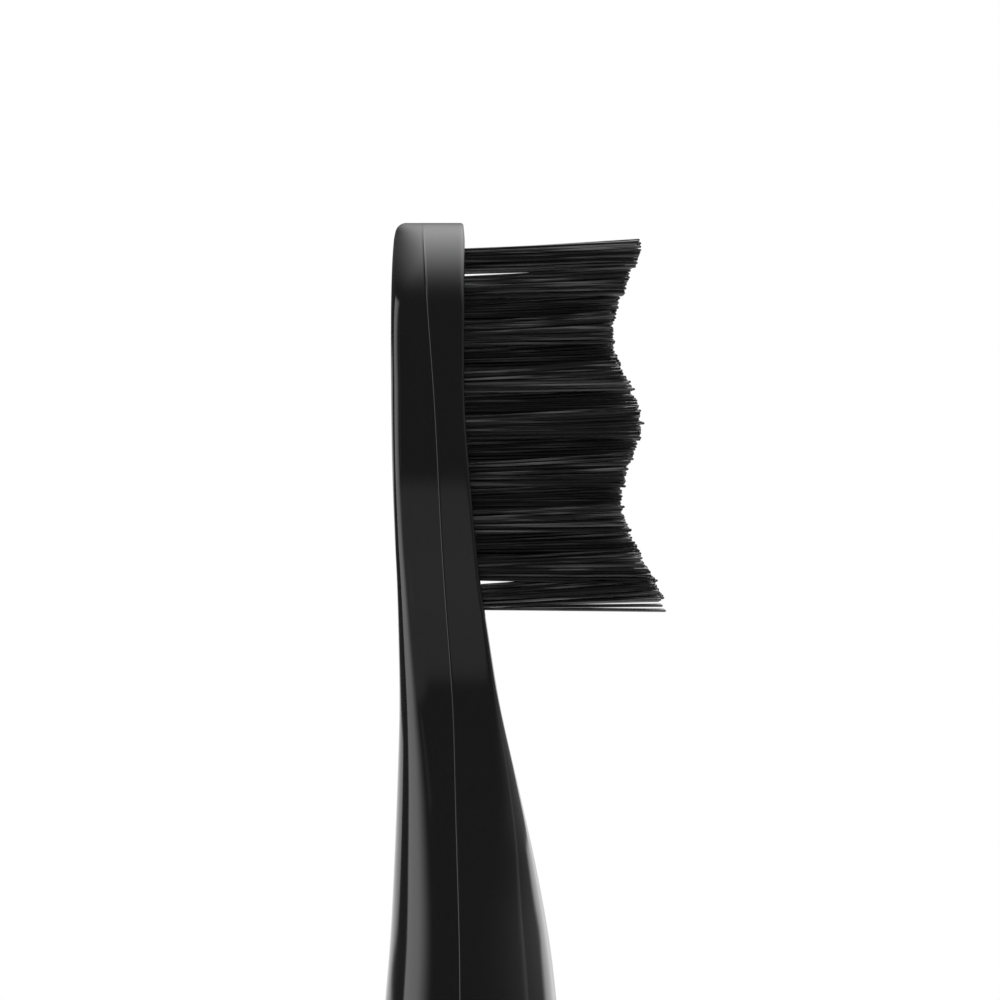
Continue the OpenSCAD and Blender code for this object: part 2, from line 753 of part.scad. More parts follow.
module head_skin(low) {
    sides = 32;
    tip_rings = 7;
    neck_rings = 20;
    depths = concat(
        [for (i = [1 : tip_rings]) tip_round * (1 - cos(90 * i / tip_rings))],
        [for (i = [1 : neck_rings]) tip_round + (head_len - low - tip_round) * i / neck_rings]
    );
    rings = [for (d = depths) skin_ring(d, sides)];
    points = [for (r = rings, p = r) p];
    last = (len(depths) - 1) * sides;
    faces = concat(
        [[for (i = [0 : sides - 1]) i]],
        [for (r = [0 : len(depths) - 2], i = [0 : sides - 1])
            let (a = r * sides + i, b = r * sides + (i + 1) % sides)
            each [[a, a + sides, b], [b, a + sides, b + sides]]],
        [[for (i = [sides - 1 : -1 : 0]) last + i]]
    );
    polyhedron(points, faces);
}

// Children are placed at the mouth of each tuft hole of a row, with +Z along the bristles
module at_tufts(rows) {
    for (i = rows, y = row_sides(i)) {
        d = row_depth(i);
        translate([face_x(d), y, tip_z - d]) rotate([0, 90 - tuft_lean, 0]) children();
    }
}

module head_shell() {
    seat = head_z + ring_h + fit;
    color("#141415") difference() {
        head_skin(ring_h + fit);
        translate([0, 0, seat - 1]) cylinder(r = socket_r + fit, h = socket_top + 0.3 - ring_h + 1);
        translate([0, 0, seat - 1]) cylinder(r = ring_spigot_r + fit, h = socket_z - ring_h + 1);
        at_tufts([0 : TUFT_ROWS - 1]) translate([0, 0, -hole_depth])
            cylinder(r = tuft_d / 2 + 0.04, h = hole_depth + 1);
    }
}

module shaft_socket() {
    bore = shaft_r + 0.1;
    color("#cfcfca") translate([0, 0, head_z]) difference() {
        translate([0, 0, socket_z]) cylinder(r = socket_r, h = socket_top - socket_z);
        difference() {
            translate([0, 0, socket_z - 1]) cylinder(r = bore, h = shaft_reach + 1.4 - socket_z);
            translate([flat_x + 0.1, -bore - 1, shaft_reach - flat_len + 0.4])
                cube([bore, 2 * bore + 2, flat_len + 2]);
        }
        translate([0, 0, clip_z - 0.1]) cylinder(r = bore + clip_t + 0.2, h = clip_h + 0.2);
    }
}

module retaining_clip() {
    inner = shaft_r + 0.15;
    color("#b9bbbe") translate([0, 0, head_z + clip_z]) rotate([0, 0, 60])
        rotate_extrude(angle = 300) translate([inner, 0]) square([clip_t, clip_h]);
}

module base_ring() {
    bore = shaft_r + 1;
    edge = 0.4;
    color("#4b4d52") translate([0, 0, head_z]) rotate_extrude()
        polygon([
            [bore, 0], [base_r - edge, 0], [base_r, edge], [base_r, ring_h],
            [ring_spigot_r, ring_h], [ring_spigot_r, socket_z - fit], [bore, socket_z - fit]
        ]);
}

module anchor_plate(grow) {
    wide = tuft_d - 0.06;
    translate([-wide / 2 - grow, -0.15 - grow, 0.4 - hole_depth - grow])
        cube([wide + 2 * grow, 0.3 + 2 * grow, 1.2 + 2 * grow]);
}

module tuft_anchors() {
    color("#c2a14d") at_tufts([0 : TUFT_ROWS - 1]) anchor_plate(0);
}

// The side view of the space that the trimmed bristles may fill, as an outline in the X-Z plane
module trim_area() {
    steps = 40;
    high = -2;
    low = row_depth(TUFT_ROWS - 1) + 3;
    polygon(concat(
        [[-10, tip_z - high + 1], [-10, tip_z - low - 1], [trim_x(low), tip_z - low - 1]],
        [for (k = [steps : -1 : 0]) let (d = high + (low - high) * k / steps) [trim_x(d), tip_z - d]],
        [[trim_x(high), tip_z - high + 1]]
    ));
}

module tuft_row(i) {
    color("#1a1a1b") intersection() {
        at_tufts([i : i]) difference() {
            translate([0, 0, fit - hole_depth]) cylinder(r = tuft_d / 2, h = hole_depth + bristle_len + 4);
            anchor_plate(0.02);
        }
        rotate([90, 0, 0]) translate([0, 0, -head_w]) linear_extrude(2 * head_w) trim_area();
    }
}

// ---------- charger ----------
charger_top();
charger_base();
rubber_foot();
charger_screws();
charger_board();
primary_coil();
ferrite_rod();
inlet_shell();
inlet_tongue();
// ---------- handle ----------
handle_housing();
collar_ring();
shaft_seal();
bottom_cap();
cap_seal();
receiver_coil();
chassis();
battery_cell();
battery_tabs();
circuit_board();
board_chips();
indicator_leds();
indicator_window();
switch_body();
button_seal();
motor_can();
motor_front_plate();
motor_rear_plate();
upper_bearing();
lower_bearing();
stator_core();
stator_coils();
front_damper();
rear_damper();
flat_leads();
// ---------- drive ----------
drive_shaft();
rotor_core();
rotor_magnets();
shaft_circlip();
// ---------- button ----------
power_button();
switch_plunger();
// ---------- brush head ----------
head_shell();
shaft_socket();
retaining_clip();
base_ring();
tuft_anchors();
for (i = [0 : TUFT_ROWS - 1])
    tuft_row(i);
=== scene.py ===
import math
import random

import bmesh
import bpy
from mathutils import Matrix, Vector


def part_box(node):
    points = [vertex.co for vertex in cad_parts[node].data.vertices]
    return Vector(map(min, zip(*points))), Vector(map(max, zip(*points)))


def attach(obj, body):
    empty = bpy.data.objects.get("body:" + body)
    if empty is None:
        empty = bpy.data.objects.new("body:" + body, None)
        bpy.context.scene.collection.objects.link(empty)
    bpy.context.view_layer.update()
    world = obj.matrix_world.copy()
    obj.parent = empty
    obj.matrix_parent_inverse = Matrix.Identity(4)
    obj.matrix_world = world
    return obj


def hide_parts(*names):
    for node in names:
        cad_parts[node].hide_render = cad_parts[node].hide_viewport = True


# A sonic electric toothbrush standing on its inductive charger.
# Metres throughout: +Z is up, and +X is the way that the bristles and the button face.
# Sizes named in millimetres are turned into metres with MM as a mesh is made.

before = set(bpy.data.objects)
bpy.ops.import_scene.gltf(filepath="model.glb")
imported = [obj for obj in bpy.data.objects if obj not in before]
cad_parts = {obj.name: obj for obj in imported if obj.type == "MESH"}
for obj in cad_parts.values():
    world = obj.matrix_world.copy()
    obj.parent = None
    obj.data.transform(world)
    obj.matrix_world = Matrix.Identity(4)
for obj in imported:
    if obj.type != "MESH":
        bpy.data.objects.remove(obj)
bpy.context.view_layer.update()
MM = 0.001


# ---------- camera ----------
# A long lens at the height of the bristles, level, looking square on to the side of the brush head.

brush_tip = 259.4
camera_distance = 0.6
view_width = 0.0645
view_centre = Vector((1.87 * MM, 0, (brush_tip - 17.87) * MM))

camera_data = bpy.data.cameras.new("side_camera")
camera_data.sensor_width = 36
camera_data.lens = camera_data.sensor_width * camera_distance / view_width
camera_data.clip_start = 0.01
camera = bpy.data.objects.new("side_camera", camera_data)
camera.location = view_centre - Vector((0, camera_distance, 0))
camera.rotation_euler = (math.radians(90), 0, 0)
bpy.context.scene.collection.objects.link(camera)
bpy.context.scene.camera = camera


# ---------- studio ----------
# A pale round table in a dim room that looks white to the camera. It glows overhead, in a tall panel at
# the left, and far behind on both sides, and is dark towards the camera, so that gloss black stays black.

def new_finish(name, colour, roughness, metallic=0.0, **sockets):
    """A material and its shader. Sockets are named with _ for a space."""
    finish = bpy.data.materials.new(name)
    finish.use_nodes = True
    shader = finish.node_tree.nodes["Principled BSDF"]
    shader.inputs["Base Color"].default_value = (*colour, 1)
    shader.inputs["Roughness"].default_value = roughness
    shader.inputs["Metallic"].default_value = metallic
    for socket, value in sockets.items():
        shader.inputs[socket.replace("_", " ")].default_value = value
    return finish, shader


def new_node(owner, kind, **values):
    """A node in a material or world, with its settings and the values of its input sockets."""
    node = owner.node_tree.nodes.new(kind)
    for name, value in values.items():
        if name in node.bl_rna.properties:
            setattr(node, name, value)
        else:
            node.inputs[name.replace("_", " ")].default_value = value
    return node


def link(owner, source, target):
    owner.node_tree.links.new(source, target)


def object_from(bm, name, finish, sharp=35):
    """Turns a bmesh into an object at the origin, smooth but for edges sharper than that angle."""
    mesh = bpy.data.meshes.new(name)
    bm.to_mesh(mesh)
    bm.free()
    mesh.shade_smooth()
    mesh.set_sharp_from_angle(angle=math.radians(sharp))
    mesh.materials.append(finish)
    piece = bpy.data.objects.new(name, mesh)
    bpy.context.scene.collection.objects.link(piece)
    return piece


table_radius, near_radius = 3.0, 0.5
table_paint, shader = new_finish("table_paint", (0.45, 0.45, 0.445), 0.6)
place = new_node(table_paint, "ShaderNodeTexCoord")
grain = new_node(table_paint, "ShaderNodeTexNoise", Scale=220.0, Detail=3.0)
grain_bump = new_node(table_paint, "ShaderNodeBump", Strength=0.05, Distance=0.0005)
link(table_paint, place.outputs["Object"], grain.inputs["Vector"])
link(table_paint, grain.outputs["Fac"], grain_bump.inputs["Height"])
link(table_paint, grain_bump.outputs["Normal"], shader.inputs["Normal"])
for name, radius, sunk in [("table_top", table_radius, 0.0003), ("table_middle", near_radius, 0)]:
    bm = bmesh.new()
    bmesh.ops.create_circle(
        bm, cap_ends=True, segments=128, radius=radius, matrix=Matrix.Translation((0, 0, -sunk)))
    table = object_from(bm, name, table_paint)
    table.visible_glossy = name == "table_middle"

room = bpy.data.worlds.new("studio_room")
bpy.context.scene.world = room
room.use_nodes = True
bpy.context.scene.view_settings.view_transform = "Standard"
direction = new_node(room, "ShaderNodeTexCoord")


def facing(azimuth, elevation):
    """The cosine between each direction and one at an azimuth from the camera's side and an elevation."""
    a, e = math.radians(azimuth), math.radians(elevation)
    cosine = new_node(room, "ShaderNodeVectorMath", operation="DOT_PRODUCT")
    cosine.inputs[1].default_value = (math.sin(a) * math.cos(e), -math.cos(a) * math.cos(e), math.sin(e))
    link(room, direction.outputs["Generated"], cosine.inputs[0])
    return cosine.outputs["Value"]


def sky_glow(azimuth, elevation, tightness, radiance):
    """A wide glow that falls away smoothly on all sides of its middle."""
    falloff = new_node(room, "ShaderNodeMath", operation="POWER")
    falloff.inputs[1].default_value = tightness
    ahead = new_node(room, "ShaderNodeMath", operation="MAXIMUM")
    ahead.inputs[1].default_value = 0
    glow = new_node(room, "ShaderNodeMath", operation="MULTIPLY")
    glow.inputs[1].default_value = radiance
    link(room, facing(azimuth, elevation), ahead.inputs[0])
    link(room, ahead.outputs["Value"], falloff.inputs[0])
    link(room, falloff.outputs["Value"], glow.inputs[0])
    return glow.outputs["Value"]


def softbox(left, right, low, high, radiance, left_blur=4, right_blur=4, level_blur=1):
    """A panel of even light between two azimuths and two elevations, fading out past its edges."""
    light = radiance
    for azimuth, elevation, full, blur in [
        (left + 90, 0, 0, left_blur), (right - 90, 0, 0, right_blur),
        (0, 90, low, level_blur), (0, -90, -high, level_blur),
    ]:
        rise = new_node(room, "ShaderNodeMapRange", interpolation_type="SMOOTHSTEP")
        rise.inputs["From Min"].default_value = math.sin(math.radians(full - blur))
        rise.inputs["From Max"].default_value = math.sin(math.radians(full))
        link(room, facing(azimuth, elevation), rise.inputs["Value"])
        product = new_node(room, "ShaderNodeMath", operation="MULTIPLY")
        product.inputs[1].default_value = radiance
        link(room, rise.outputs["Result"], product.inputs[0])
        if light is not radiance:
            link(room, light, product.inputs[1])
        light = product.outputs["Value"]
    return light


room_light = new_node(room, "ShaderNodeValue").outputs["Value"]
room_light.default_value = 0.092
for lit in [
    sky_glow(115, 70, 3, 4.3),
    softbox(-99, -80, -30, 14, 2.3, left_blur=3, right_blur=28, level_blur=6),
    softbox(-75, 20, -32, -14, 0.3, left_blur=20, right_blur=20, level_blur=5),
    softbox(-178, -127, -3, 0.2, 1.4, left_blur=2, level_blur=0.8),
    softbox(126, 178, -8, 3.5, 1.1, left_blur=14),
    softbox(126, 146, -8, 3.5, 1.2, left_blur=14, right_blur=20),
]:
    total = new_node(room, "ShaderNodeMath", operation="ADD")
    link(room, room_light, total.inputs[0])
    link(room, lit, total.inputs[1])
    room_light = total.outputs["Value"]
lamp_light = room.node_tree.nodes["Background"]
link(room, room_light, lamp_light.inputs["Strength"])
lamp_light.inputs["Color"].default_value = (1, 1, 1, 1)
backdrop = new_node(room, "ShaderNodeBackground", Color=(1, 1, 1, 1))
seen = new_node(room, "ShaderNodeLightPath")
choose = new_node(room, "ShaderNodeMixShader")
link(room, seen.outputs["Is Camera Ray"], choose.inputs["Fac"])
link(room, lamp_light.outputs["Background"], choose.inputs[1])
link(room, backdrop.outputs["Background"], choose.inputs[2])
link(room, choose.outputs["Shader"], room.node_tree.nodes["World Output"].inputs["Surface"])


# ---------- charger base ----------
# The charger's floor and side wall are one satin black moulding, with a finely sparked texture. The
# lead's inlet looks out of a slot at its back, and three screws go up through its floor.

def arc(x, z, radius, start, end, steps=8):
    """Corners of an outline round an arc, in degrees anticlockwise from +X."""
    turns = [math.radians(start + (end - start) * k / steps) for k in range(steps + 1)]
    return [(x + radius * math.cos(a), z + radius * math.sin(a)) for a in turns]


def turned(outline, closed=True, turns=160):
    """Spins an outline of (radius, height) corners round the Z axis into a solid."""
    bm = bmesh.new()
    verts = [bm.verts.new((r * MM, 0, z * MM)) for r, z in outline]
    ends = verts[1:] + verts[:1] if closed else verts[1:]
    edges = [bm.edges.new(pair) for pair in zip(verts, ends)]
    bmesh.ops.spin(
        bm, geom=verts + edges, cent=(0, 0, 0), axis=(0, 0, 1), angle=2 * math.pi, steps=turns,
        use_merge=True)
    bmesh.ops.remove_doubles(bm, verts=bm.verts, dist=1e-7)
    bmesh.ops.recalc_face_normals(bm, faces=bm.faces)
    return bm


def soften(bm, corners, width, segments=3):
    """Rounds the ring edges of a turned solid that pass through these (radius, height) corners."""
    ring = [
        e for e in bm.edges
        if all(
            any(abs(v.co.xy.length - r * MM) < 1e-6 and abs(v.co.z - z * MM) < 1e-6 for r, z in corners)
            for v in e.verts
        ) and abs(e.verts[0].co.z - e.verts[1].co.z) < 1e-6
        and abs(e.verts[0].co.xy.length - e.verts[1].co.xy.length) < 1e-6
    ]
    bmesh.ops.bevel(
        bm, geom=ring, offset=width * MM, offset_type="OFFSET", segments=segments, profile=0.5,
        affect="EDGES", material=-1)


def stadium(width, height, depth, edge=0.0):
    """A bar along +X with round-ended sections, centred on the origin, whose far end flares by edge."""
    bm = bmesh.new()
    radius = min(width, height) / 2
    upright = Matrix.Rotation(math.radians(90), 4, "Y")
    ring = bmesh.ops.create_circle(
        bm, cap_ends=True, segments=64, radius=radius * MM, matrix=upright)["verts"]
    for v in ring:
        v.co.y += math.copysign(max(width / 2 - radius, 0) * MM, v.co.y) if abs(v.co.y) > 1e-9 else 0
        v.co.z += math.copysign(max(height / 2 - radius, 0) * MM, v.co.z) if abs(v.co.z) > 1e-9 else 0
        v.co.x = -depth / 2 * MM
    made = bmesh.ops.extrude_face_region(bm, geom=list(bm.faces))["geom"]
    far = [g for g in made if isinstance(g, bmesh.types.BMVert)]
    for v in far:
        v.co.x = depth / 2 * MM
        v.co.y *= 1 + 2 * edge / width
        v.co.z *= 1 + 2 * edge / height
    bmesh.ops.recalc_face_normals(bm, faces=bm.faces)
    return bm


def shaped(piece, tool_bm, operation="DIFFERENCE"):
    """Cuts a tool's shape out of a piece, or keeps only what lies inside it."""
    mesh = bpy.data.meshes.new("tool")
    tool_bm.to_mesh(mesh)
    tool_bm.free()
    tool = bpy.data.objects.new("tool", mesh)
    bpy.context.scene.collection.objects.link(tool)
    cut = piece.modifiers.new("cut", "BOOLEAN")
    cut.operation, cut.object, cut.solver = operation, tool, "EXACT"
    made = bpy.data.meshes.new_from_object(piece.evaluated_get(bpy.context.evaluated_depsgraph_get()))
    piece.modifiers.remove(cut)
    bpy.data.objects.remove(tool)
    piece.data = made
    made.shade_smooth()
    made.set_sharp_from_angle(angle=math.radians(35))
    return piece


def moved(bm, x=0.0, y=0.0, z=0.0):
    bmesh.ops.translate(bm, verts=bm.verts, vec=Vector((x, y, z)) * MM)
    return bm


def texture_group(name, inlets):
    """A node group that gives a relief's Height and a Roughness, from inlets that are plain numbers."""
    group = bpy.data.node_groups.new(name, "ShaderNodeTree")
    for way, sockets in [("INPUT", inlets), ("OUTPUT", ["Height", "Roughness"])]:
        for socket in sockets:
            group.interface.new_socket(socket, in_out=way, socket_type="NodeSocketFloat")
    return group, group.nodes.new, group.links.new


def moulded_grain():
    """The fine sparked texture of a mould, and the slow mottling of its sheen."""
    group, add, join = texture_group(
        "moulded_grain", ["Grain Scale", "Mottle Scale", "Sheen", "Sheen Change"])
    inlet, outlet = add("NodeGroupInput"), add("NodeGroupOutput")
    place, pits, mottle = add("ShaderNodeTexCoord"), add("ShaderNodeTexVoronoi"), add("ShaderNodeTexNoise")
    pits.feature = "SMOOTH_F1"
    mottle.inputs["Detail"].default_value = 4
    half_change, level, change = add("ShaderNodeMath"), add("ShaderNodeMath"), add("ShaderNodeMath")
    half_change.operation, level.operation, change.operation = "MULTIPLY", "ADD", "MULTIPLY_ADD"
    half_change.inputs[1].default_value = -0.5
    join(place.outputs["Object"], pits.inputs["Vector"])
    join(place.outputs["Object"], mottle.inputs["Vector"])
    join(inlet.outputs["Grain Scale"], pits.inputs["Scale"])
    join(inlet.outputs["Mottle Scale"], mottle.inputs["Scale"])
    join(inlet.outputs["Sheen Change"], half_change.inputs[0])
    join(inlet.outputs["Sheen"], level.inputs[0])
    join(half_change.outputs["Value"], level.inputs[1])
    join(mottle.outputs["Fac"], change.inputs[0])
    join(inlet.outputs["Sheen Change"], change.inputs[1])
    join(level.outputs["Value"], change.inputs[2])
    join(pits.outputs["Distance"], outlet.inputs["Height"])
    join(change.outputs["Value"], outlet.inputs["Roughness"])
    return group


def textured(name, colour, sheen, metallic, texture, strength, depth, **values):
    """A finish whose sheen and fine relief, depth millimetres deep, come from a texture group."""
    finish, shader = new_finish(name, colour, sheen, metallic)
    pattern = new_node(finish, "ShaderNodeGroup", node_tree=texture, Sheen=sheen, **values)
    bump = new_node(finish, "ShaderNodeBump", Strength=strength, Distance=depth * MM)
    link(finish, pattern.outputs["Height"], bump.inputs["Height"])
    link(finish, bump.outputs["Normal"], shader.inputs["Normal"])
    link(finish, pattern.outputs["Roughness"], shader.inputs["Roughness"])
    return finish


grain_group = moulded_grain()


def grained(name, colour, sheen, change, grain, depth, mottle, metallic=0.0):
    """A moulded or plated finish, with how much its sheen changes and how fine its textures are."""
    return textured(
        name, colour, sheen, metallic, grain_group, 0.5, depth,
        Grain_Scale=grain, Mottle_Scale=mottle, Sheen_Change=change)


base_low, base_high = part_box("charger_base")
charger_radius = base_high.x / MM
seam_height = base_high.z / MM
base_underside = base_low.z / MM
charger_wall = 1.8
base_floor_top = base_underside + 1.8
foot_outer, foot_inner, foot_groove = 26.05, 21.95, 0.65
inlet_low, inlet_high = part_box("inlet_shell")
inlet_height = (inlet_low.z + inlet_high.z) / 2 / MM
screw_ring, screw_angles = 19.5, [0, 120, 240]
screw_hole, screw_head, screw_head_depth = 1.1, 2.0, 0.9

satin_black = grained("satin_black", (0.014, 0.014, 0.0145), 0.42, 0.1, grain=3600, depth=0.03, mottle=60)

bm = turned([
    (0, base_underside), (foot_inner, base_underside), (foot_inner, base_underside + foot_groove),
    (foot_outer, base_underside + foot_groove), (foot_outer, base_underside),
    (charger_radius - 0.6, base_underside), (charger_radius, base_underside + 0.6),
    (charger_radius, seam_height), (charger_radius - charger_wall, seam_height),
    (charger_radius - charger_wall, base_floor_top), (0, base_floor_top),
], closed=False)
soften(bm, [(charger_radius, seam_height)], 0.18)
soften(bm, [(charger_radius, base_underside + 0.6), (charger_radius - 0.6, base_underside)], 0.2)
base = object_from(bm, "charger_base_moulding", satin_black)
slot = moved(stadium(9.6, 4.0, 6, edge=-0.25), x=-charger_radius + 1.4, z=inlet_height)
shaped(base, slot)
for angle in screw_angles:
    hole = turned([
        (0, base_underside - 1), (screw_head + 0.25, base_underside - 1), (screw_head, base_underside + 0.15),
        (screw_head, base_underside + screw_head_depth), (screw_hole, base_underside + screw_head_depth),
        (screw_hole, base_floor_top + 1), (0, base_floor_top + 1),
    ], closed=False, turns=40)
    a = math.radians(angle)
    shaped(base, moved(hole, screw_ring * math.cos(a), screw_ring * math.sin(a)))
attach(base, "charger")
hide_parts("charger_base")


# ---------- rubber foot ----------
# A ring of soft black rubber, pressed into a groove under the base, with rounded lips and a fine
# groove round its tread.

foot_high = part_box("rubber_foot")[1]
foot_top = foot_high.z / MM
foot_radius = foot_high.x / MM
foot_bore = foot_radius - 4
tread = (foot_radius + foot_bore) / 2

soft_rubber = grained("soft_rubber", (0.02, 0.02, 0.02), 0.75, 0.15, grain=2400, depth=0.05, mottle=90)
bm = turned([
    (foot_bore, 0), (tread - 0.5, 0), (tread - 0.25, 0.25), (tread + 0.25, 0.25), (tread + 0.5, 0),
    (foot_radius, 0), (foot_radius, foot_top), (foot_bore, foot_top),
])
soften(bm, [(foot_bore, 0), (foot_radius, 0)], 0.3, 4)
foot = object_from(bm, "rubber_foot_ring", soft_rubber)
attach(foot, "charger")
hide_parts("rubber_foot")


# ---------- charger deck ----------
# The top moulding is polished black. Its dished deck falls to the well that the handle stands in, the
# post in the middle reaches up into the handle's foot, and a lip below the seam fits inside the base.

deck_low, deck_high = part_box("charger_top")
rim_height, rim_round, rim_drop = 15.0, 3.5, 0.8
well_radius, well_floor = 13.9, 12.4
post_radius, post_top = 4.8, deck_high.z / MM
lip_outer, lip_inner, lip_low = charger_radius - 1.9, charger_radius - 3.1, deck_low.z / MM
deck_inner = rim_height - rim_drop - charger_wall
seam = 0.15


def object_place(finish):
    """The place on a piece that a pattern reads, in metres from the origin."""
    return new_node(finish, "ShaderNodeTexCoord").outputs["Object"]


def sheen_from(finish, pattern, shader, smooth, rough, low=0.0, high=1.0):
    """Lets a pattern set the roughness, smooth where it is low and rough where it is high."""
    sheen = new_node(finish, "ShaderNodeMapRange", From_Min=low, From_Max=high, To_Min=smooth, To_Max=rough)
    link(finish, pattern, sheen.inputs["Value"])
    link(finish, sheen.outputs["Result"], shader.inputs["Roughness"])


polished_black, shader = new_finish("polished_black", (0.011, 0.011, 0.0115), 0.12)
smears = new_node(polished_black, "ShaderNodeTexNoise", Scale=70.0, Detail=5.0, Distortion=1.2)
link(polished_black, object_place(polished_black), smears.inputs["Vector"])
sheen_from(polished_black, smears.outputs["Fac"], shader, 0.08, 0.22, low=0.4, high=0.75)

bm = turned(
    [(lip_inner, lip_low), (lip_outer, lip_low), (lip_outer, seam_height + seam)]
    + [(charger_radius, seam_height + seam)]
    + arc(charger_radius - rim_round, rim_height - rim_round, rim_round, 0, 90, 14)
    + [(24, rim_height - 0.16), (19, rim_height - 0.46)]
    + arc(well_radius + 0.8, rim_height - rim_drop - 0.8, 0.8, 90, 180)
    + arc(well_radius - 0.5, well_floor + 0.5, 0.5, 0, -90, 5)
    + arc(post_radius + 0.5, well_floor + 0.5, 0.5, -90, -180, 5)
    + arc(post_radius - 1, post_top - 1, 1, 0, 90)
    + [(0, post_top), (0, post_top - 1), (post_radius - 1, post_top - 1)]
    + [(post_radius - 1, well_floor - charger_wall), (well_radius + charger_wall, well_floor - charger_wall)]
    + [(well_radius + charger_wall, deck_inner)]
    + [(charger_radius - rim_round, rim_height - charger_wall), (lip_inner, seam_height)]
)
soften(bm, [(charger_radius, seam_height + seam)], 0.12)
deck = object_from(bm, "charger_deck", polished_black)
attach(deck, "charger")
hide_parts("charger_top")


# ---------- inlet ----------
# The lead plugs into a drawn steel shell in the back of the base. A black tongue in it carries the
# contacts. The object is shown without its lead.

bright_steel, shader = new_finish("bright_steel", (0.62, 0.62, 0.63), 0.25, 1.0)
draw_lines = new_node(bright_steel, "ShaderNodeMapping", Scale=(300, 6000, 6000))
draw_marks = new_node(bright_steel, "ShaderNodeTexNoise", Scale=1.0, Detail=2.0)
link(bright_steel, object_place(bright_steel), draw_lines.inputs["Vector"])
link(bright_steel, draw_lines.outputs["Vector"], draw_marks.inputs["Vector"])
sheen_from(bright_steel, draw_marks.outputs["Fac"], shader, 0.16, 0.36)

shell_length = (inlet_high.x - inlet_low.x) / MM
shell_width = (inlet_high.y - inlet_low.y) / MM
shell_height = (inlet_high.z - inlet_low.z) / MM
shell_middle = (inlet_low.x + inlet_high.x) / 2 / MM
bm = moved(stadium(shell_width, shell_height, shell_length), x=shell_middle, z=inlet_height)
inlet = object_from(bm, "inlet_steel_shell", bright_steel)
mouth = stadium(shell_width - 0.6, shell_height - 0.6, shell_length, edge=0.0)
shaped(inlet, moved(mouth, x=shell_middle - 0.8, z=inlet_height))
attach(inlet, "charger")
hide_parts("inlet_shell")


def add_box(bm, middle, size):
    """Adds a box to a mesh, from its middle and its size in metres."""
    place = Matrix.Translation(middle) @ Matrix.Diagonal((*size, 1))
    return bmesh.ops.create_cube(bm, size=1, matrix=place)["verts"]


tongue_low, tongue_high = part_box("inlet_tongue")
tongue_size = tongue_high - tongue_low
tongue_black = grained("tongue_black", (0.015, 0.015, 0.016), 0.4, 0.1, grain=5200, depth=0.02, mottle=200)
bm = bmesh.new()
add_box(bm, (tongue_low + tongue_high) / 2, tongue_size)
bmesh.ops.bevel(
    bm, geom=[e for e in bm.edges if all(v.co.x < tongue_low.x + 1e-6 for v in e.verts)], offset=0.2 * MM,
    offset_type="OFFSET", segments=3, profile=0.5, affect="EDGES", material=-1)
tongue = object_from(bm, "inlet_tongue_bar", tongue_black)
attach(tongue, "charger")
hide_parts("inlet_tongue")

contact_gold = grained(
    "contact_gold", (0.83, 0.6, 0.24), 0.22, 0.12, grain=9000, depth=0.004, mottle=900, metallic=1.0)
bm = bmesh.new()
contact_count, contact_pitch = 8, 0.75
contact_size = Vector((2.4 * MM, 0.35 * MM, 0.06 * MM))
for k in range(contact_count):
    for face in [1, -1]:
        middle = Vector((
            tongue_low.x + 1.7 * MM,
            (k - (contact_count - 1) / 2) * contact_pitch * MM,
            inlet_height * MM + face * tongue_size.z / 2,
        ))
        add_box(bm, middle, contact_size)
contacts = object_from(bm, "inlet_contacts", contact_gold)
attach(contacts, "charger")


# ---------- charger board, screws and coil ----------
# A round circuit board stands on posts in the base and reaches back to the inlet. It drives the coil,
# which is wound on a ferrite rod inside the post. Three steel screws close the charger from below.

def dress(name, finish):
    """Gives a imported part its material. Its shape stays as it is."""
    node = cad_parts[name]
    node.data.materials.clear()
    node.data.materials.append(finish)


def solder_mask():
    """Green board lacquer, with the paler tracks and the tinned holes that show through it."""
    finish, shader = new_finish("solder_mask", (0.01, 0.1, 0.045), 0.28)
    cells = new_node(finish, "ShaderNodeTexVoronoi", distance="MANHATTAN", Scale=520.0, Randomness=0.35)
    tracks = new_node(finish, "ShaderNodeMapRange", From_Min=0.62, From_Max=0.66)
    holes = new_node(finish, "ShaderNodeMapRange", From_Min=0.12, From_Max=0.1)
    lacquer = new_node(finish, "ShaderNodeMix", data_type="RGBA")
    lacquer.inputs[6].default_value = (0.008, 0.075, 0.035, 1)
    lacquer.inputs[7].default_value = (0.02, 0.15, 0.07, 1)
    tinned = new_node(finish, "ShaderNodeMix", data_type="RGBA")
    tinned.inputs[7].default_value = (0.6, 0.58, 0.52, 1)
    link(finish, object_place(finish), cells.inputs["Vector"])
    link(finish, cells.outputs["Distance"], tracks.inputs["Value"])
    link(finish, cells.outputs["Distance"], holes.inputs["Value"])
    link(finish, tracks.outputs["Result"], lacquer.inputs["Factor"])
    link(finish, lacquer.outputs[2], tinned.inputs[6])
    link(finish, holes.outputs["Result"], tinned.inputs["Factor"])
    link(finish, tinned.outputs[2], shader.inputs["Base Color"])
    link(finish, holes.outputs["Result"], shader.inputs["Metallic"])
    return finish


def blocks(sizes, edge):
    """Small bevelled blocks in one mesh. Each is (middle, size), in millimetres."""
    bm = bmesh.new()
    for middle, size in sizes:
        made = add_box(bm, Vector(middle) * MM, Vector(size) * MM)
        edges = list({e for v in made for e in v.link_edges})
        bmesh.ops.bevel(
            bm, geom=edges, offset=edge * MM, offset_type="OFFSET", segments=2, profile=0.5, affect="EDGES",
            material=-1)
    return bm


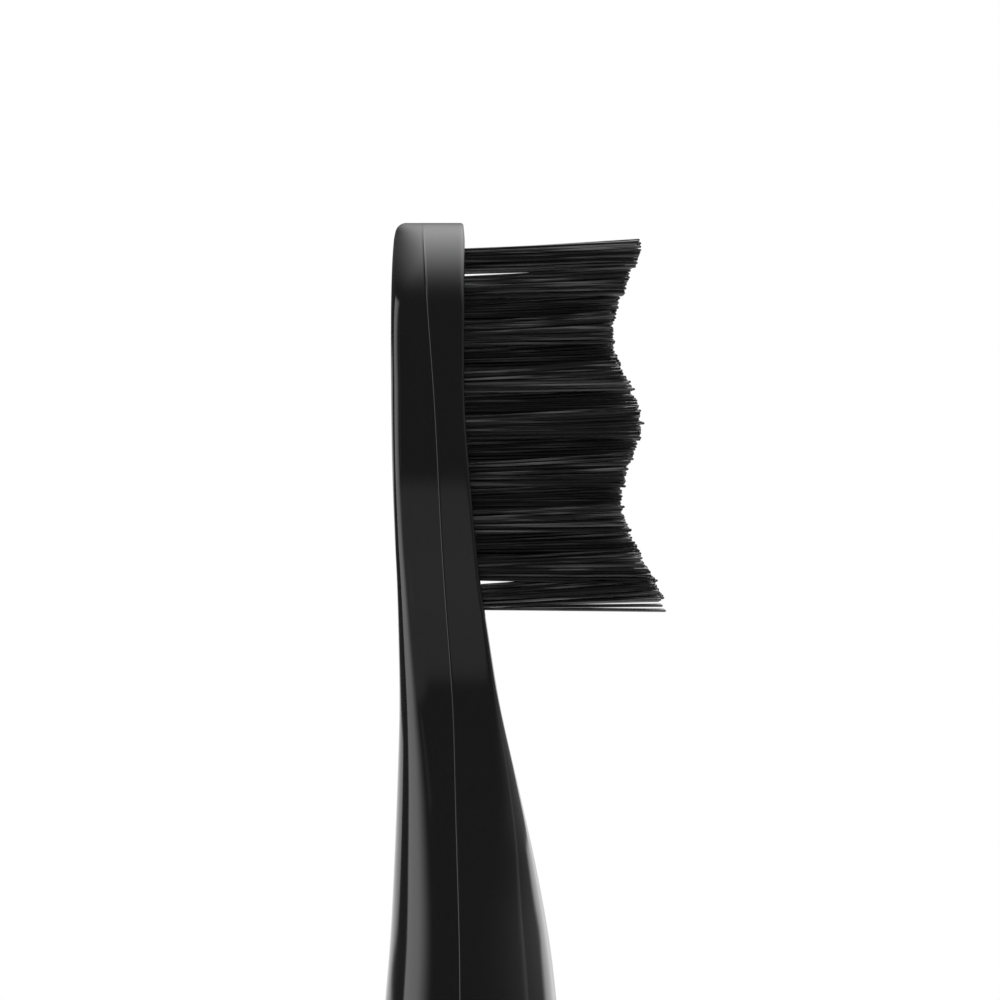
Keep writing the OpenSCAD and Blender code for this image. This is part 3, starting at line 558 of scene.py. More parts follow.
board_lacquer = solder_mask()
board_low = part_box("charger_board")[0]
disc_radius, disc_bottom, disc_thickness = 15.5, board_low.z / MM, 1.2
disc_top = disc_bottom + disc_thickness
tab_back, tab_width = board_low.x / MM, 12.0
bm = turned(
    [(0, disc_bottom), (disc_radius, disc_bottom), (disc_radius, disc_top), (0, disc_top)],
    closed=False, turns=96)
charger_board = object_from(bm, "charger_circuit_board", board_lacquer)
tab_middle = (tab_back / 2 - 4, 0, disc_bottom + disc_thickness / 2)
tab = blocks([(tab_middle, (-tab_back - 8, tab_width, disc_thickness))], 0.05)
shaped(charger_board, tab, "UNION")
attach(charger_board, "charger")
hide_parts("charger_board")

chip_epoxy = grained("chip_epoxy", (0.022, 0.022, 0.024), 0.5, 0.12, grain=9000, depth=0.006, mottle=700)
ceramic = grained("ceramic_part", (0.42, 0.33, 0.23), 0.45, 0.15, grain=8000, depth=0.01, mottle=1200)
bm = blocks([
    ((8, 4, disc_top + 0.75), (5, 5, 1.4)), ((8, -7, disc_top + 0.75), (3.2, 3.2, 1.4)),
    ((-9, -7, disc_top + 0.75), (4, 4, 1.4)),
], 0.12)
charger_chips = object_from(bm, "charger_board_chips", chip_epoxy)
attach(charger_chips, "charger")
bm = blocks([((12.2, side * 2, disc_top + 0.5), (2, 1.2, 0.9)) for side in [1, -1]], 0.08)
charger_ceramics = object_from(bm, "charger_board_ceramics", ceramic)
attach(charger_ceramics, "charger")


def winding(inner, outer, low, high, wire):
    """The outline of a layer-wound coil, whose wires bulge out of its outer face."""
    count = max(2, round((high - low) / wire))
    pitch = (high - low) / count
    bulges = []
    for k in range(count):
        bulges += arc(outer - wire / 2, low + (k + 0.5) * pitch, wire / 2, -80, 80, 4)
    return [(inner, low)] + bulges + [(inner, high)]


def turned_lines():
    """Fine lines round the Z axis, as a lathe leaves them on metal."""
    group, add, join = texture_group("turned_lines", ["Line Scale", "Sheen", "Sheen Change"])
    inlet, outlet = add("NodeGroupInput"), add("NodeGroupOutput")
    place, parts, flat = add("ShaderNodeTexCoord"), add("ShaderNodeSeparateXYZ"), add("ShaderNodeCombineXYZ")
    radius, where = add("ShaderNodeVectorMath"), add("ShaderNodeCombineXYZ")
    radius.operation = "LENGTH"
    lines, change = add("ShaderNodeTexNoise"), add("ShaderNodeMath")
    lines.inputs["Detail"].default_value = 3
    change.operation = "MULTIPLY_ADD"
    join(place.outputs["Object"], parts.inputs["Vector"])
    join(parts.outputs["X"], flat.inputs["X"])
    join(parts.outputs["Y"], flat.inputs["Y"])
    join(flat.outputs["Vector"], radius.inputs[0])
    join(radius.outputs["Value"], where.inputs["X"])
    join(parts.outputs["Z"], where.inputs["Y"])
    join(where.outputs["Vector"], lines.inputs["Vector"])
    join(inlet.outputs["Line Scale"], lines.inputs["Scale"])
    join(lines.outputs["Fac"], change.inputs[0])
    join(inlet.outputs["Sheen Change"], change.inputs[1])
    join(inlet.outputs["Sheen"], change.inputs[2])
    join(lines.outputs["Fac"], outlet.inputs["Height"])
    join(change.outputs["Value"], outlet.inputs["Roughness"])
    return group


lines_group = turned_lines()


def lathed(name, colour, sheen, change, lines, depth):
    """A metal with the lathe's lines, with how much its sheen changes and how fine the lines are."""
    return textured(
        name, colour, sheen, 1.0, lines_group, 0.4, depth, Line_Scale=lines, Sheen_Change=change)


enamelled_copper = lathed("enamelled_copper", (0.72, 0.3, 0.12), 0.2, 0.25, lines=5000, depth=0.01)
coil_low, coil_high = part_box("primary_coil")
bm = turned(winding(2.4, coil_high.x / MM, coil_low.z / MM, coil_high.z / MM, 0.32), turns=64)
coil = object_from(bm, "primary_coil_winding", enamelled_copper)
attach(coil, "charger")
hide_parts("primary_coil")

ferrite_grey = grained("ferrite_grey", (0.05, 0.05, 0.053), 0.45, 0.2, grain=7000, depth=0.03, mottle=400)
dress("ferrite_rod", ferrite_grey)
dress("charger_screws", bright_steel)


# ---------- bottom cap ----------
# A black plug closes the handle's foot. The blind recess in its middle drops over the charger's post,
# and its skirt goes up inside the housing, where it is welded.

handle_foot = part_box("bottom_cap")[0].z / MM
shaft_radius = 2.0
# [height above the handle's foot, radius]
handle_outline = [
    [0, 13.2], [34, 13.4], [93.5, 12.925], [130, 12.26], [146, 11.5], [158, 10.41], [167.6, 8.5],
]


def curve(rows, at, column):
    """A smooth curve through a table's rows, read from one column at a place along the first."""
    i = 0
    while i < len(rows) - 2 and at >= rows[i + 1][0]:
        i += 1

    def slope(k):
        before, after = rows[max(k - 1, 0)], rows[min(k + 1, len(rows) - 1)]
        return (after[column] - before[column]) / (after[0] - before[0])

    h = rows[i + 1][0] - rows[i][0]
    u = (at - rows[i][0]) / h
    return (
        rows[i][column] * (2 * u**3 - 3 * u**2 + 1) + rows[i + 1][column] * (3 * u**2 - 2 * u**3)
        + slope(i) * h * (u**3 - 2 * u**2 + u) + slope(i + 1) * h * (u**3 - u**2)
    )


def handle_radius(z):
    return curve(handle_outline, z, 1)


def lifted(outline):
    """An outline on the handle, from heights above its foot to heights above the table."""
    return [(r, z + handle_foot) for r, z in outline]


cap_edge, cap_flange = 1.2, 2.0
recess_radius, recess_depth = 5.3, 11.0
plug_radius, plug_wall, plug_top = 11.4, 1.9, 10.0
foot_edge = handle_radius(0)

satin_grip = grained("satin_grip", (0.016, 0.016, 0.017), 0.4, 0.09, grain=4200, depth=0.025, mottle=35)

bm = turned(lifted(
    [(0, recess_depth), (recess_radius - 0.6, recess_depth), (recess_radius, recess_depth - 0.6)]
    + [(recess_radius, 0)]
    + arc(foot_edge - cap_edge, cap_edge, cap_edge, -90, 0)
    + [(handle_radius(cap_flange), cap_flange), (plug_radius, cap_flange), (plug_radius, plug_top)]
    + [(plug_radius - plug_wall, plug_top), (plug_radius - plug_wall, cap_flange)]
    + [(recess_radius + 1, cap_flange), (recess_radius + 1, recess_depth + 1), (0, recess_depth + 1)]
), closed=False)
soften(bm, lifted([(recess_radius, 0)]), 0.5, 4)
soften(bm, lifted([(handle_radius(cap_flange), cap_flange)]), 0.12)
cap = object_from(bm, "bottom_cap_plug", satin_grip)
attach(cap, "handle")
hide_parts("bottom_cap")


# ---------- cap seal ----------
# A flat ring of soft rubber is squeezed between the cap's flange and the end of the housing. Its
# rounded edge stands just inside the skin and reads as a fine dark line.

seal_low, seal_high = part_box("cap_seal")
seal_outer, seal_inner = seal_high.x / MM, plug_radius + 0.05
bm = turned([
    (seal_inner, seal_low.z / MM), (seal_outer, seal_low.z / MM), (seal_outer, seal_high.z / MM),
    (seal_inner, seal_high.z / MM),
])
soften(bm, [(seal_outer, seal_low.z / MM), (seal_outer, seal_high.z / MM)], 0.2, 4)
seal = object_from(bm, "cap_seal_ring", soft_rubber)
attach(seal, "handle")
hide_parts("cap_seal")


# ---------- handle housing ----------
# One tapering tube of satin black plastic. Its crown is closed but for the shaft's hole, a ledge inside
# holds the motor down, and its front has a round hole for the button and a long slot for the lights.

housing_low, housing_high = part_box("handle_housing")
housing_start = housing_low.z / MM - handle_foot
housing_end = housing_high.z / MM - handle_foot
housing_wall, crown_thickness = 1.7, 3.0
crown_bore = shaft_radius + 2.5
ledge_low, ledge_high, ledge_bore = 152.65, 154.05, shaft_radius + 4.8
button_height = 116.0
button_radius = 4.95
hole_radius = button_radius + 0.3
pocket_radius, pocket_front = 6.3, 9.55
window_low, window_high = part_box("indicator_window")
window_height = (window_low.z + window_high.z) / 2 / MM
window_width, window_length = 2.6, 20.0
board_front = 5.6


def inside_radius(z):
    return min(foot_edge, handle_radius(z)) - housing_wall


def along(low, high, radius_at, steps):
    """Corners of an outline that follows a radius from one height to another."""
    stops = [low + (high - low) * k / steps for k in range(steps + 1)]
    return [(radius_at(z), z) for z in stops]


def faced_front(bm, height):
    """Turns a solid that was spun about Z so that it is spun about a line along +X, at a height."""
    bmesh.ops.rotate(bm, verts=bm.verts, cent=(0, 0, 0), matrix=Matrix.Rotation(math.radians(90), 3, "Y"))
    return moved(bm, z=height)


crown_low = housing_end - crown_thickness
bm = turned(lifted(
    along(housing_start, housing_end, handle_radius, 76)
    + [(crown_bore, housing_end), (crown_bore, crown_low)]
    + along(crown_low, ledge_high, inside_radius, 6)
    + [(ledge_bore, ledge_high), (ledge_bore, ledge_low)]
    + along(ledge_low, housing_start, inside_radius, 30)
), turns=200)
soften(bm, lifted([(handle_radius(housing_start), housing_start)]), 0.15)
soften(bm, lifted([(handle_radius(housing_end), housing_end)]), 0.25)
housing = object_from(bm, "handle_shell", satin_grip)
skin_at_button = handle_radius(button_height)
button_hole = turned([
    (0, board_front), (pocket_radius, board_front), (pocket_radius, pocket_front),
    (hole_radius, pocket_front), (hole_radius, skin_at_button - 0.9),
    (hole_radius + 0.45, skin_at_button + 0.05), (hole_radius + 0.45, 16), (0, 16),
], closed=False, turns=96)
shaped(housing, faced_front(button_hole, handle_foot + button_height))
window_slot = stadium(window_width, window_length, 10)
shaped(housing, moved(window_slot, x=board_front + 5, z=window_height))
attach(housing, "handle")
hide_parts("handle_housing")


# ---------- indicator window ----------
# A smoked clear insert, flush with the skin, closes the slot in front of five small lights. A flange
# round its back holds it in from the inside.

smoked_clear, shader = new_finish(
    "smoked_clear", (0.03, 0.03, 0.034), 0.08, IOR=1.49, Transmission_Weight=0.35)
haze = new_node(smoked_clear, "ShaderNodeTexNoise", Scale=900.0, Detail=3.0)
link(smoked_clear, object_place(smoked_clear), haze.inputs["Vector"])
sheen_from(smoked_clear, haze.outputs["Fac"], shader, 0.04, 0.14)

window_back = window_low.x / MM
window_middle = window_height - handle_foot
plug_start, plug_end = window_middle - 14, window_middle + 14
bm = turned(lifted(
    [(0, plug_start)] + along(plug_start, plug_end, lambda z: handle_radius(z) - 0.05, 16) + [(0, plug_end)]
), closed=False, turns=200)
window = object_from(bm, "indicator_window_insert", smoked_clear)
insert = moved(stadium(window_width - 0.1, window_length - 0.1, 8), x=window_back + 4, z=window_height)
shaped(window, insert, "INTERSECT")
flange = moved(stadium(window_width + 1.6, window_length + 1.6, 1), x=window_back + 0.5, z=window_height)
shaped(window, flange, "UNION")
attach(window, "handle")
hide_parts("indicator_window")


# ---------- power button ----------
# A round domed key in softer black plastic, with a flange behind the housing that keeps it in, and a
# plain on and off sign printed on it in grey. It presses the switch through a flat rubber seal.

button_low, button_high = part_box("power_button")
button_back, button_crown = button_low.x / MM, button_high.x / MM
flange_radius, flange_back, flange_front = 6.0, 7.9, 8.7
dome = 0.7

button_plastic = grained("button_plastic", (0.019, 0.019, 0.02), 0.5, 0.1, grain=5200, depth=0.02, mottle=160)
bm = turned(
    [(0, button_back), (1.7, button_back), (1.7, flange_back), (flange_radius, flange_back)]
    + [(flange_radius, flange_front), (button_radius, flange_front)]
    + [(button_radius * (1 - k / 10), button_crown - dome * (1 - k / 10) ** 2) for k in range(11)],
    closed=False, turns=96)
soften(bm, [(button_radius, button_crown - dome)], 0.3, 4)
button = object_from(faced_front(bm, handle_foot + button_height), "power_key", button_plastic)
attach(button, "button")
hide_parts("power_button")

sign_radius, sign_width, sign_gap = 1.45, 0.26, 70
sign_grey = grained("sign_grey", (0.42, 0.42, 0.43), 0.55, 0.1, grain=6000, depth=0.01, mottle=500)
bm = bmesh.new()
section = [
    bm.verts.new(Vector((sign_radius + side * sign_width / 2, 0, button_crown - depth)) * MM)
    for side, depth in [(-1, 0.2), (1, 0.2), (1, 0.02), (-1, 0.02)]
]
face = bm.faces.new(section)
start_turn = math.radians(180 + sign_gap / 2)
bmesh.ops.rotate(bm, verts=bm.verts, cent=(0, 0, 0), matrix=Matrix.Rotation(start_turn, 3, "Z"))
bmesh.ops.spin(
    bm, geom=[face, *face.edges, *section], cent=(0, 0, 0), axis=(0, 0, 1),
    angle=math.radians(360 - sign_gap), steps=40)
add_box(bm, Vector((-1.15, 0, button_crown - 0.09)) * MM, (1.3 * MM, sign_width * MM, 0.16 * MM))
bmesh.ops.recalc_face_normals(bm, faces=bm.faces)
sign = object_from(faced_front(bm, handle_foot + button_height), "power_key_sign", sign_grey)
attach(sign, "button")

ring_low, ring_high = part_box("button_seal")
ring_back, ring_front, ring_radius = ring_low.x / MM, ring_high.x / MM, 6.25
bm = turned([
    (hole_radius, ring_back), (ring_radius, ring_back), (ring_radius, ring_front), (hole_radius, ring_front),
], turns=96)
soften(bm, [(hole_radius, ring_back), (hole_radius, ring_front)], 0.15)
button_ring = object_from(faced_front(bm, handle_foot + button_height), "button_seal_ring", soft_rubber)
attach(button_ring, "handle")
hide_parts("button_seal")


# ---------- collar ----------
# A lathe-turned ring of dark metal caps the shoulder. Its turning lines run round it, and its top edge
# is rounded off.

collar_low, collar_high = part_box("collar_ring")
collar_bottom, collar_top = collar_low.z / MM, collar_high.z / MM
collar_outer, collar_bore = collar_high.x / MM, shaft_radius + 3.2
dark_metal = lathed("dark_metal", (0.26, 0.26, 0.27), 0.2, 0.22, lines=9000, depth=0.01)
bm = turned(
    [(collar_bore, collar_bottom), (collar_outer, collar_bottom)]
    + arc(collar_outer - 0.5, collar_top - 0.5, 0.5, 0, 90)
    + arc(collar_bore + 0.3, collar_top - 0.3, 0.3, 90, 180, 5)
)
soften(bm, [(collar_outer, collar_bottom)], 0.12)
collar = object_from(bm, "collar_metal_ring", dark_metal)
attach(collar, "handle")
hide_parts("collar_ring")


# ---------- shaft seal ----------
# A rubber bellows fills the crown round the shaft, so that it can turn a few degrees to and fro and no
# water gets in. One soft fold shows inside the collar.

lip_low, lip_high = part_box("shaft_seal")
seal_foot, seal_top = lip_low.z / MM, lip_high.z / MM
seal_bore = shaft_radius + 0.15
bm = turned([
    (seal_bore, seal_foot), (shaft_radius + 4, seal_foot), (shaft_radius + 4, crown_low + handle_foot - 0.05),
    (crown_bore - 0.05, crown_low + handle_foot - 0.05), (crown_bore - 0.05, seal_top - 0.9),
    (shaft_radius + 1.9, seal_top - 0.3), (shaft_radius + 1.5, seal_top - 0.3),
    (shaft_radius + 1.1, seal_top - 0.75), (shaft_radius + 0.8, seal_top - 0.6),
    (shaft_radius + 0.6, seal_top), (seal_bore, seal_top),
], turns=96)
soften(bm, [
    (shaft_radius + 1.9, seal_top - 0.3), (shaft_radius + 1.5, seal_top - 0.3),
    (shaft_radius + 0.6, seal_top), (crown_bore - 0.05, seal_top - 0.9),
], 0.12)
bellows = object_from(bm, "shaft_seal_bellows", soft_rubber)
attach(bellows, "handle")
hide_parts("shaft_seal")


# ---------- drive shaft ----------
# A ground steel rod carries the brush. Its upper end has a flat that keys into the head's socket, and
# a groove near its foot takes the circlip.

shaft_low, shaft_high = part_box("drive_shaft")
shaft_foot, shaft_end = shaft_low.z / MM, shaft_high.z / MM
flat_offset, flat_length = 1.5, 15.0
neck_radius, circlip_slot = shaft_radius - 0.4, 0.7
groove_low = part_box("shaft_circlip")[0].z / MM - 0.1
ground_steel = lathed("ground_steel", (0.66, 0.66, 0.67), 0.12, 0.2, lines=12000, depth=0.004)
bm = turned([
    (0, shaft_foot), (shaft_radius - 0.3, shaft_foot), (shaft_radius, shaft_foot + 0.3),
    (shaft_radius, groove_low), (neck_radius, groove_low), (neck_radius, groove_low + circlip_slot),
    (shaft_radius, groove_low + circlip_slot), (shaft_radius, shaft_end - 0.6),
    (shaft_radius - 0.6, shaft_end), (0, shaft_end),
], closed=False, turns=96)
shaft = object_from(bm, "drive_shaft_rod", ground_steel)
bm = bmesh.new()
cut_middle = Vector((flat_offset + 2, 0, shaft_end - flat_length / 2 + 1)) * MM
add_box(bm, cut_middle, (4 * MM, 8 * MM, (flat_length + 2) * MM))
shaped(shaft, bm)
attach(shaft, "rotor")
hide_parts("drive_shaft")


# ---------- chassis and battery ----------
# A white resin frame slides into the housing with everything mounted on it. The cell lies behind it in
# its blue shrink sleeve, and two nickel tabs are welded from its ends to the board.

white_resin = grained("white_resin", (0.62, 0.61, 0.57), 0.42, 0.1, grain=3600, depth=0.02, mottle=80)
dress("chassis", white_resin)

cell_low, cell_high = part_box("battery_cell")
cell_radius = (cell_high.y - cell_low.y) / 2 / MM
cell_axis = (cell_low.x + cell_high.x) / 2 / MM
cell_foot, cell_end = cell_low.z / MM, cell_high.z / MM
hem_radius = cell_radius - 1.6
sleeve_blue = grained("sleeve_blue", (0.03, 0.13, 0.33), 0.26, 0.14, grain=2500, depth=0.01, mottle=150)
bm = turned(
    [(hem_radius, cell_foot + 0.05)] + arc(cell_radius - 0.5, cell_foot + 0.5, 0.5, -90, 0, 4)
    + arc(cell_radius - 0.5, cell_end - 1.5, 0.5, 0, 90, 4)
    + [(hem_radius, cell_end - 1), (hem_radius, cell_end - 1.15), (cell_radius - 0.6, cell_end - 1.25)]
    + [(cell_radius - 0.15, cell_end - 1.6), (cell_radius - 0.15, cell_foot + 0.6)]
    + [(cell_radius - 0.6, cell_foot + 0.2), (hem_radius, cell_foot + 0.15)],
    turns=96)
sleeve = object_from(moved(bm, x=cell_axis), "battery_sleeve", sleeve_blue)
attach(sleeve, "handle")
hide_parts("battery_cell")

bm = turned([
    (0, cell_foot + 0.1), (cell_radius - 0.8, cell_foot + 0.16), (cell_radius - 0.2, cell_foot + 0.7),
    (cell_radius - 0.2, cell_end - 1.7), (cell_radius - 0.8, cell_end - 1.2), (3.4, cell_end - 1.12),
    (3.0, cell_end - 1.0), (2.6, cell_end - 0.9), (2.6, cell_end - 0.2), (2.4, cell_end), (0, cell_end),
], closed=False, turns=96)
can = object_from(moved(bm, x=cell_axis), "battery_can", bright_steel)
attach(can, "handle")

nickel = grained("nickel", (0.56, 0.54, 0.5), 0.24, 0.2, grain=6000, depth=0.01, mottle=500, metallic=1.0)
dress("battery_tabs", nickel)


# ---------- main board ----------
# A narrow green board stands in front of the chassis. It carries the chips, five white lights behind
# the window, and the switch behind the button. Flat leads join it to the coil below and the motor above.

main_low, main_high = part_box("circuit_board")
main_middle, main_size = (main_low + main_high) / 2 / MM, (main_high - main_low) / MM
main_board = object_from(blocks([(main_middle, main_size)], 0.1), "main_circuit_board", board_lacquer)
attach(main_board, "handle")
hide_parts("circuit_board")

board_face, board_foot = main_high.x / MM, main_low.z / MM
chip_height = 1.1
# Each chip: (height above the board's foot, y, width, height)
chips = [(12, -2, 5, 5), (20, 3, 3, 2), (28, -3, 4, 6), (38, 2, 3, 3)]
bm = blocks([
    ((board_face + 0.1 + chip_height / 2, y, board_foot + z), (chip_height, width - 0.5, height - 0.2))
    for z, y, width, height in chips
], 0.12)
chip_bodies = object_from(bm, "board_chip_bodies", chip_epoxy)
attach(chip_bodies, "handle")
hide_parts("board_chips")
leg_pitch, leg_size = 0.65, (0.18, 0.6, 0.28)
legs = []
for z, y, width, height in chips:
    count = int(height / leg_pitch)
    for k in range(count):
        level = board_foot + z + (k - (count - 1) / 2) * leg_pitch
        for side in [-1, 1]:
            legs.append(((board_face + 0.14, y + side * (width / 2 - 0.05), level), leg_size))
chip_legs = object_from(blocks(legs, 0.04), "board_chip_legs", bright_steel)
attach(chip_legs, "handle")

ceramic_size = (0.6, 0.8, 1.5)
parts = [
    ((board_face + 0.35, y, board_foot + z), ceramic_size)
    for z in [45, 48, 51, 54, 57] for y in [-5, -3, 4.5]
]
board_ceramics = object_from(blocks(parts, 0.06), "board_ceramics", ceramic)
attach(board_ceramics, "handle")

led_low, led_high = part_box("indicator_leds")
led_count, led_height = 5, 0.8
led_pitch = (led_high.z - led_low.z - led_height * MM) / (led_count - 1) / MM
led_white, shader = new_finish("led_white", (0.8, 0.82, 0.78), 0.25, Emission_Strength=3.0)
levels = new_node(led_white, "ShaderNodeSeparateXYZ")
lit = new_node(led_white, "ShaderNodeMapRange")
lit.inputs["From Min"].default_value = led_low.z + (led_height + 2.5 * led_pitch) * MM
lit.inputs["From Max"].default_value = lit.inputs["From Min"].default_value - 0.5 * MM
glow_tint = new_node(led_white, "ShaderNodeMix", data_type="RGBA")
glow_tint.inputs[6].default_value = (0, 0, 0, 1)
glow_tint.inputs[7].default_value = (0.85, 0.95, 1, 1)
link(led_white, object_place(led_white), levels.inputs["Vector"])
link(led_white, levels.outputs["Z"], lit.inputs["Value"])
link(led_white, lit.outputs["Result"], glow_tint.inputs["Factor"])
link(led_white, glow_tint.outputs[2], shader.inputs["Emission Color"])
lowest_led = led_low.z / MM + led_height / 2
bm = blocks([
    ((board_face + 0.45, 0, lowest_led + k * led_pitch), (0.8, 1.6, 0.8)) for k in range(led_count)
], 0.15)
leds = object_from(bm, "indicator_lights", led_white)
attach(leds, "handle")
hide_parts("indicator_leds")

dark_resin = grained("dark_resin", (0.03, 0.03, 0.033), 0.42, 0.1, grain=6000, depth=0.015, mottle=300)
dress("switch_body", dark_resin)
cream_resin = grained("cream_resin", (0.7, 0.66, 0.55), 0.36, 0.1, grain=6000, depth=0.01, mottle=300)
dress("switch_plunger", cream_resin)
lead_film = grained("lead_film", (0.42, 0.2, 0.05), 0.26, 0.14, grain=5000, depth=0.01, mottle=700)
dress("flat_leads", lead_film)


# ---------- receiver coil ----------
# A flat coil of enamelled wire sits in the bottom cap, round the recess for the charger's post.

receiver_low, receiver_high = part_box("receiver_coil")
bm = turned(winding(6.4, receiver_high.x / MM, receiver_low.z / MM, receiver_high.z / MM, 0.4), turns=128)
receiver = object_from(bm, "receiver_coil_winding", enamelled_copper)
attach(receiver, "handle")
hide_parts("receiver_coil")


# ---------- motor ----------
# A steel can and its two end plates hold a laminated stator with two copper coils. A magnet rotor on
# the shaft swings between them, in two bronze bearings. Rubber dampers hold the motor at both ends.

def laminations():
    """Stacked steel sheets, whose edges show as fine level lines."""
    finish, shader = new_finish("lamination_steel", (0.3, 0.31, 0.33), 0.38, 1.0)
    sheets = new_node(finish, "ShaderNodeTexWave", wave_type="BANDS", bands_direction="Z", Scale=450.0)
    bump = new_node(finish, "ShaderNodeBump", Strength=0.6, Distance=0.05 * MM)
    link(finish, object_place(finish), sheets.inputs["Vector"])
    link(finish, sheets.outputs["Fac"], bump.inputs["Height"])
    link(finish, bump.outputs["Normal"], shader.inputs["Normal"])
    sheen_from(finish, sheets.outputs["Fac"], shader, 0.55, 0.3)
    return finish


lamination_steel = laminations()
dress("stator_core", lamination_steel)
dress("rotor_core", lamination_steel)
can_steel = lathed("can_steel", (0.5, 0.5, 0.51), 0.24, 0.16, lines=4000, depth=0.01)
for name in ["motor_can", "motor_front_plate", "motor_rear_plate"]:
    dress(name, can_steel)
bearing_bronze = lathed("bearing_bronze", (0.55, 0.36, 0.14), 0.28, 0.2, lines=7000, depth=0.01)
dress("upper_bearing", bearing_bronze)
dress("lower_bearing", bearing_bronze)
dress("stator_coils", enamelled_copper)
magnet_plating = grained(
    "magnet_plating", (0.36, 0.36, 0.37), 0.16, 0.14, grain=5000, depth=0.008, mottle=600, metallic=1.0)
dress("rotor_magnets", magnet_plating)
spring_steel = grained(
    "spring_steel", (0.42, 0.43, 0.45), 0.24, 0.2, grain=7000, depth=0.01, mottle=500, metallic=1.0)
dress("shaft_circlip", spring_steel)
dress("front_damper", soft_rubber)
dress("rear_damper", soft_rubber)


# ---------- base ring ----------
# A grey plastic ring tells one user's brush from another's. It is a loose ring with a spigot that snaps
# up into the foot of the brush head.

ring_low, ring_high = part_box("base_ring")
ring_bottom, ring_top = ring_low.z / MM, ring_high.z / MM
ring_radius, ring_bore, spigot_radius = ring_high.x / MM, shaft_radius + 1, 6.25
ring_shelf = ring_bottom + 2.2
ring_grey = grained("ring_grey", (0.075, 0.077, 0.082), 0.38, 0.08, grain=4200, depth=0.02, mottle=120)
bm = turned(
    [(ring_bore, ring_bottom)] + arc(ring_radius - 0.4, ring_bottom + 0.4, 0.4, -90, 0, 5)
    + [(ring_radius, ring_shelf), (spigot_radius, ring_shelf), (spigot_radius, ring_top)]
    + [(ring_bore, ring_top)]
)
soften(bm, [(ring_radius, ring_shelf)], 0.12)
soften(bm, [(ring_bore, ring_bottom), (spigot_radius, ring_top)], 0.25)
base_ring = object_from(bm, "head_base_ring", ring_grey)
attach(base_ring, "brush_head")
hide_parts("base_ring")


# ---------- brush head ----------
# The shell is one hard gloss moulding in black plastic, with a fine parting line down each side where
# the two halves of its mould met. It slides over the shaft, and the tufts' roots are sunk into its face.

head_length = 76
head_width = 11.4
base_radius = 7.6
ring_height = 2.2
neck_start = 26
tip_round = 5.8


def neck(share):
    """How deep below the tip a station on the neck lies."""
    return neck_start + (head_length - neck_start) * share


# [depth below the tip, back x, front x, half width, radius of the back corners, of the front corners],
# where radii much larger than the section make it round
head_outline = [
    [0, -4.75, -0.5, head_width / 2, 4, 0.3],
    [1.2, -4.98, -0.4, head_width / 2, 3, 0.3],
    [5, -5.1, -0.39, head_width / 2, 1.1, 0.3],
    [11.4, -5.1, -0.37, head_width / 2, 0.95, 0.3],
    [15.9, -5.04, -0.08, head_width * 0.49, 0.95, 0.3],
    [20.4, -4.88, 0.32, head_width * 0.44, 1.0, 0.3],
    [23, -4.76, 0.6, head_width * 0.395, 1.1, 0.32],
    [neck_start, -4.68, 1.05, head_width * 0.345, 1.4, 0.4],
    [neck(0.1), -4.62, 1.86, head_width * 0.3, 2.2, 0.65],
    [neck(0.2), -4.76, 2.98, head_width * 0.32, 3.8, 1.5],
    [neck(0.3), -4.96, 4.1, head_width * 0.37, 6, 3.2],
    [neck(0.4), -5.22, 5.02, head_width * 0.43, 10, 6.5],
    [neck(0.48), -base_radius * 0.73, base_radius * 0.725, base_radius * 0.705, 14, 11],
    [neck(0.64), -base_radius * 0.81, base_radius * 0.812, base_radius * 0.805, 20, 20],
    [neck(0.82), -base_radius * 0.905, base_radius * 0.906, base_radius * 0.905, 20, 20],
    [head_length, -base_radius, base_radius, base_radius, 20, 20],
]
# [depth below the tip, x of the parting line]
parting_line = [
    [0, -3.1], [5, -2.8], [12, -2.3], [20, -1.9], [24, -1.65], [31, -1.16], [38, -0.96], [48, -0.7],
    [head_length, -0.6],
]


def round_over(d, radius):
    """How far a rounded edge of that radius has drawn in, d from its end."""
    return radius - math.sqrt(radius**2 - (radius - d) ** 2) if d < radius else 0


def face_x(d):
    return curve(head_outline, d, 2)


def half_width(d):
    share = math.sqrt(1 - ((tip_round - d) / tip_round) ** 2) if d < tip_round else 1
    return curve(head_outline, d, 3) * share


def corner_share(radius, half_size):
    """How much of half a side a corner takes up. It nears 1 smoothly as the radius outgrows the side."""
    return (1 + (half_size / radius) ** 6) ** (-1 / 6)


def corner_reach(angle, p, q):
    """How far a ray at that angle runs inside a square of half size 1, whose corners are quarters of an
    ellipse with the half axes p along the first side and q along the second."""
    c, s = abs(math.cos(angle)), abs(math.sin(angle))
    if s <= c * (1 - q):
        return 1 / c
    if c <= s * (1 - p):
        return 1 / s
    square = (c / p) ** 2 + (s / q) ** 2
    middle = c * (1 - p) / p**2 + s * (1 - q) / q**2
    rest = (1 / p - 1) ** 2 + (1 / q - 1) ** 2 - 1
    return (middle + math.sqrt(middle**2 - square * rest)) / square


